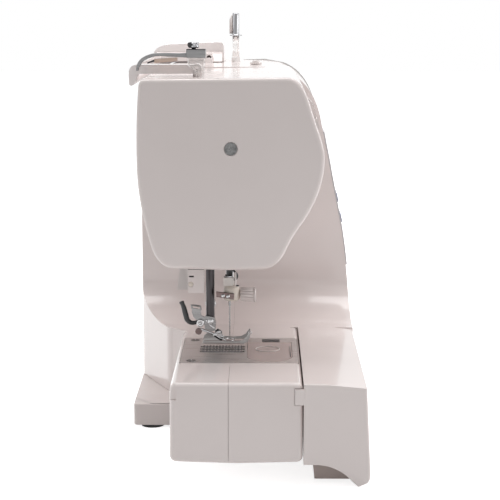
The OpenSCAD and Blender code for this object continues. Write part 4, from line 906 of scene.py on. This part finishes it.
def make_shank(x):
    bm = bmesh.new()
    block = [(29.6, 97.6), (29.9, 94.2), (29.2, 89.6), (24.0, 87.6), (21.2, 88.4), (21.0, 93.5),
             (22.2, 98.6), (28.4, 99.6)]
    plate = [(39.2, 102.4), (38.0, 98.8), (34.9, 95.6), (31.0, 91.6), (29.0, 93.6), (29.4, 98.8),
             (31.9, 99.8), (32.3, 104.6), (38.8, 105.5)]
    add_prism(bm, block, "x", x - 4, x + 4)
    add_prism(bm, plate, "x", x - 3.4, x - 1.8)
    rod = [(38.7, 104.9), (39.4, 107.6), (35.8, 107.3), (32.6, 106.7), (32.5, 104.4)]
    add_tube(bm, [(x - 2.6, y, z) for y, z in rod], 0.75, 12)
    add_piece("foot_shank", bm, SATIN_DARK, "presser", ("foot_holder",), edge=0.35)
    bm = bmesh.new()
    boss = [(0, 2.9), (-1.1, 2.9), (-1.4, 2.6), (-1.4, 1.3), (-1.1, 1.2), (-1.1, 0.9), (-1.9, 0.8),
            (-2.0, 0.02)]
    pin = [(-4, 2.1), (-4.6, 2.3), (-5.0, 1.9), (-5.2, 0.02)]
    add_lathe(bm, boss, (x - 4, 32.6, 94.2), ALONG_X, 32)
    add_lathe(bm, pin, (x, 25.0, 95.2), ALONG_X, 24)
    add_tube(bm, [(x - 3.6, 32.3, 89.4), (x - 3.6, 27.4, 87.5), (x - 3.6, 22.3, 85.5)], 1.0, 16)
    add_tube(bm, [(x - 4, 28.2, 96.2), (x - 4, 24.8, 92.0), (x - 4, 22.6, 90.2)], 0.8, 12)
    add_piece("shank_pins", bm, BRIGHT, "presser", edge=0.1)
    bm = bmesh.new()
    knob = [(-1, 0.9), (-3.2, 0.9), (-3.2, 2.2), (-3.5, 2.5), (-5.1, 2.5), (-5.4, 2.2),
            (-5.4, 0.02)]
    add_lathe(bm, knob, (x, 34.0, 87.9), ALONG_X, 28)
    add_piece("shank_knob", bm, BROWN_STEEL, "presser", edge=0.1)


def make_release_lever(x):
    """The curved black lever behind the shank, thickest in the middle, with a small button end."""
    bm = bmesh.new()
    line = [(47.2, 110.0), (45.4, 105.4), (44.0, 100.0), (42.6, 95.6), (39.4, 93.5), (34.8, 94.0)]
    path = curve([(x, y, z) for y, z in line])
    loops = []
    for i, point in enumerate(path):
        ahead = (path[min(i + 1, len(path) - 1)] - path[max(i - 1, 0)]).normalized()
        across = Vector((0, ahead.z, -ahead.y))
        share = i / (len(path) - 1)
        half = 1.5 + 0.6 * math.sin(math.pi * min(1, share * 1.15)) + (0.35 if i < 3 else 0)
        loops.append([point + across * (half * math.sin(a)) + Vector((1.9 * math.cos(a), 0, 0))
                      for a in angles(16, 22.5)])
    add_loops(bm, loops)
    add_piece("release_lever", bm, BLACK, "release", ("foot_release_lever",),
              edge=0.5)


def make_foot_walls(x):
    bm = bmesh.new()
    wall = [(31.2, 79.2), (30.2, 82.2), (27.6, 84.0), (21.5, 84.2), (17.0, 81.6), (8.0, 80.9),
            (2.0, 81.4), (-1.6, 83.4), (-4.2, 87.2), (-5.2, 86.8), (-4.6, 83.6), (-2.4, 80.4),
            (0, 79.2)]
    for side in (-1, 1):
        add_prism(bm, wall, "x", *sorted((x + side * 8.9, x + side * 7.7)))
    add_piece("foot_walls", bm, SATIN_STEEL, "foot", edge=0.25)


def make_sole(x):
    """The sole, with the needle's slot, the open toe and two ears for the cross pin."""
    bm = bmesh.new()
    side_view = [(31.7, 79.0), (31.4, 80.4), (2.0, 80.5), (-1.2, 82.2), (-4.0, 87.2), (-5.0, 87.0),
                 (-2.6, 81.6), (0.9, 78.9), (30.9, 78.3)]
    add_prism(bm, side_view, "x", x - 7.8, x + 7.8)
    sole = as_object("sole", bm)
    cut(sole, box_of((x - 4, 8.7, 70), (x + 4, 12.6, 95)))
    cut(sole, box_of((x - 5.6, -9, 70), (x + 5.6, 1.2, 95)),
        box_of((x - 1.3, 1, 70), (x + 1.3, 5.6, 95)))
    ear = [(22.6, 79.4), (22.0, 86.4), (19.6, 88.2), (16.6, 86.0), (16.0, 79.4)]
    for side in (-1, 1):
        join(sole, (ear, "x", *sorted((x + side * 4.2, x + side * 5.4))))
    finish_piece(sole, "foot_sole", BRIGHT, "foot", ("presser_foot",), edge=0.2,
                 angle=30)


def make_foot_trim(x):
    """Rivets and wires on the foot, two dark strips of painted shadow along its side, the curl of
    its toe and the ring round its hole.
    """
    bm = bmesh.new()
    for y, z, r in ((21.4, 85.2, 1.7), (18.4, 87.4, 1.3), (16.0, 84.0, 1.2)):
        add_lathe(bm, [(-5, r * 0.98), (-5.7, r), (-6.1, r * 0.8), (-6.2, 0.02)], (x, y, z),
                  ALONG_X, 20)
    wire = [(x - 5.6, 21.4, 85.4), (x - 6.0, 18.0, 83.0), (x - 6.0, 15.6, 82.4),
            (x - 6.0, 13.4, 80.6)]
    add_tube(bm, curve(wire), 0.5, 10)
    curl = [(x - 8, -5.0 + math.cos(a), 87.7 + math.sin(a)) for a in angles(13, 30)]
    add_tube(bm, curl, 0.35, 8)
    toe = [(x - 8, 8, 80.9), (x - 8, 0, 81.6), (x - 8, -2.6, 84.2), (x - 8, -4.4, 87.2)]
    add_tube(bm, toe, 0.42, 8)
    ring = [(x + 4.7 * math.cos(a), 10.6 + 3.4 * math.sin(a), 80.5) for a in angles(19, 20)]
    add_tube(bm, ring, 0.5, 8)
    add_piece("foot_trim", bm, BRIGHT, "foot")
    # Two thin dark strips on the outer side of the foot: painted shadow lines under its sole and
    # its rim.
    bm = bmesh.new()
    for low, high in ((79.7, 80.1), (81.6, 81.9)):
        add_prism(bm, [(29.6, low), (29.6, high), (2.4, high - 0.2), (2.4, low - 0.2)], "x",
                  x - 9.0, x - 8.8)
    add_piece("foot_painted_shadow_lines", bm, BROWN_STEEL, "foot")


def make_plate_parts():
    """Ring and dark edge of the bobbin cover."""
    bm = bmesh.new()
    ring = [(X_NEEDLE + 8.0 * math.cos(a), -18.2 + 9.0 * math.sin(a), 73.2) for a in angles(37, 10)]
    add_tube(bm, ring, 0.35, 8)
    add_piece("cover_ring", bm, WHITE_SATIN, "cover")
    bm = bmesh.new()
    add_prism(bm, [(-35.5, 72.6), (-35.5, 73.25), (-34.9, 73.25), (-34.9, 72.6)], "x", -129, -97)
    add_piece("cover_edge", bm, BLACK, "cover")


def make_thread_guide():
    """The curved blade on its clear post, with its spring and knob."""
    bm = bmesh.new()
    add_prism(bm, [(27.0, 293.4), (40.9, 293.4), (40.9, 299.3), (27.0, 299.3)], "x", -128, -116)
    upper = flat_curve([(41, 297.0), (47, 296.7), (57.2, 296.9), (66.3, 296.3), (73.2, 293.2),
                        (76.6, 289.0), (77.5, 284.0)], 8)
    lower = flat_curve([(76.0, 283.9), (74.7, 287.4), (71.0, 291.6), (62.6, 294.5), (52.0, 294.2),
                        (41, 293.6)], 8)
    add_prism(bm, upper + lower, "x", -124.5, -119.5)
    add_piece("guide_blade", bm, GUIDE_STEEL, "machine", ("thread_guide",), edge=0.35)
    bm = bmesh.new()
    add_prism(bm, [(27.0, 299.2), (40.9, 299.2), (40.9, 299.75), (27.0, 299.75)], "x", -128, -116)
    add_prism(bm, [(64.2, 290.6), (69.2, 289.2), (69.2, 290.2), (64.2, 292.2)], "x", -124, -120)
    add_piece("guide_edge", bm, DARK, "machine", edge=0.1)
    bm = bmesh.new()
    add_prism(bm, [(47.5, 291.2), (64.2, 289.6), (64.2, 292.6), (47.5, 293.6)], "x", -124, -120)
    add_piece("guide_spring", bm, TAN, "machine", edge=0.2)
    bm = bmesh.new()
    post = [(28, 280.2), (28, 293.5), (40, 293.5), (40, 288), (34, 284), (34, 280.2)]
    add_prism(bm, post, "x", -126, -118)
    add_piece("guide_post", bm, CLEAR_STEM, "machine", edge=0.5)
    bm = bmesh.new()
    grip = [(36.2, 300.9), (36.2, 304.2), (37.5, 304.7), (39.9, 304.2), (40.1, 302.4),
            (39.4, 300.9)]
    add_prism(bm, grip, "x", -125.6, -118.4)
    add_piece("guide_knob_side", bm, BLACK, "machine", edge=0.4)
    bm = bmesh.new()
    knob = [(299.6, 1.5), (300.4, 1.6), (300.5, 3.4), (301.0, 3.9), (302.0, 3.9), (302.3, 3.5),
            (303.4, 3.5), (303.9, 4.0), (304.4, 3.7), (304.6, 0.02)]
    add_lathe(bm, knob, (-122, 35.7, 0), UPWARDS, 40)
    add_piece("guide_knob", bm, CHROME, "machine", ("pretension_disc",))


def make_winder():
    """The bobbin winder's spindle, which is clear at its neck, with its spring."""
    bm = bmesh.new()
    top = [(303.6, 3.0), (303.7, 5.5), (304.4, 5.5), (304.6, 3.1), (306, 3.0), (321.6, 3.0),
           (322, 2.8), (322.2, 3.05), (323.2, 3.05), (323.9, 2.5), (324, 0.02)]
    add_lathe(bm, top, WINDER_AT, UPWARDS, 40)
    add_piece("winder_top", bm, CHROME, "winder", ("winder_spindle",))
    bm = bmesh.new()
    stem = [(256, 3.9), (268, 4), (268.2, 9), (275.4, 9), (275.5, 4), (284, 3.8)]
    add_lathe(bm, stem, WINDER_AT, UPWARDS, 40)
    spring = [(13.4, 305.5), (13.4, 321.5), (14.4, 322), (16.2, 318), (16.2, 305.5)]
    add_prism(bm, spring, "x", 138.2, 139.8)
    add_piece("winder_stem", bm, WHITE_SATIN, "winder")
    bm = bmesh.new()
    add_lathe(bm, [(283.8, 3.7), (285, 3.2), (296, 2.8), (303.7, 3.0)], WINDER_AT, UPWARDS, 40)
    add_piece("winder_neck", bm, CLEAR_STEM, "winder")


def make_top_trim():
    """The ramp up to the raised block, and a grey strip round the end of the column, painted shade
    for its darker far edge.
    """
    bm = bmesh.new()
    end = [(22.5, 281), (22.5, 290.2), (80, 289.6), (84.5, 287), (84.5, 281)]
    add_prism(bm, end, "x", 133.4, 134)
    add_loops(bm, [[(122, 22.5, 281), (122, 80, 281), (122, 80, 281.2), (122, 22.5, 281.2)],
                   [(134, 22.5, 281), (134, 84, 281), (134, 82, 289.6), (134, 22.5, 290.2)]])
    add_piece("hump_ramp", bm, WHITE, "machine", edge=0.3)
    # A thin grey strip along the column's far outline: painted shade for the darker rounded rim of
    # its far edge.
    bm = bmesh.new()
    f, hi = Y_FRONT, TOP
    edge = [(4, hi), (f + 75, hi)]
    edge += bend((f + 61, hi - 2), (f + 36, hi - 9.5), (f + 28.5, hi - 40.5))
    lifts = [0.2] + [0.8] * (len(edge) - 1)
    outer = [(y - lift * 0.75, z + lift) for (y, z), lift in zip(edge, lifts)]
    add_prism(bm, outer + [(y + 1.5, z - 1.5) for y, z in edge[::-1]], "x", 184, 187.5)
    add_piece("painted_end_shade_line", bm, EDGE_SHADE_GREY, "machine")


make_camera()
dress_nodes()
make_casings()
make_body_fittings()
make_pan_corner()
make_table()
make_face_cover()
make_buttonhole_lever()
make_needle_parts()
make_foot_parts()
make_plate_parts()
make_thread_guide()
make_winder()
make_top_trim()
make_floor()
make_world()
for lamp in LAMPS:
    add_lamp(*lamp)
scene.view_settings.view_transform = "Standard"
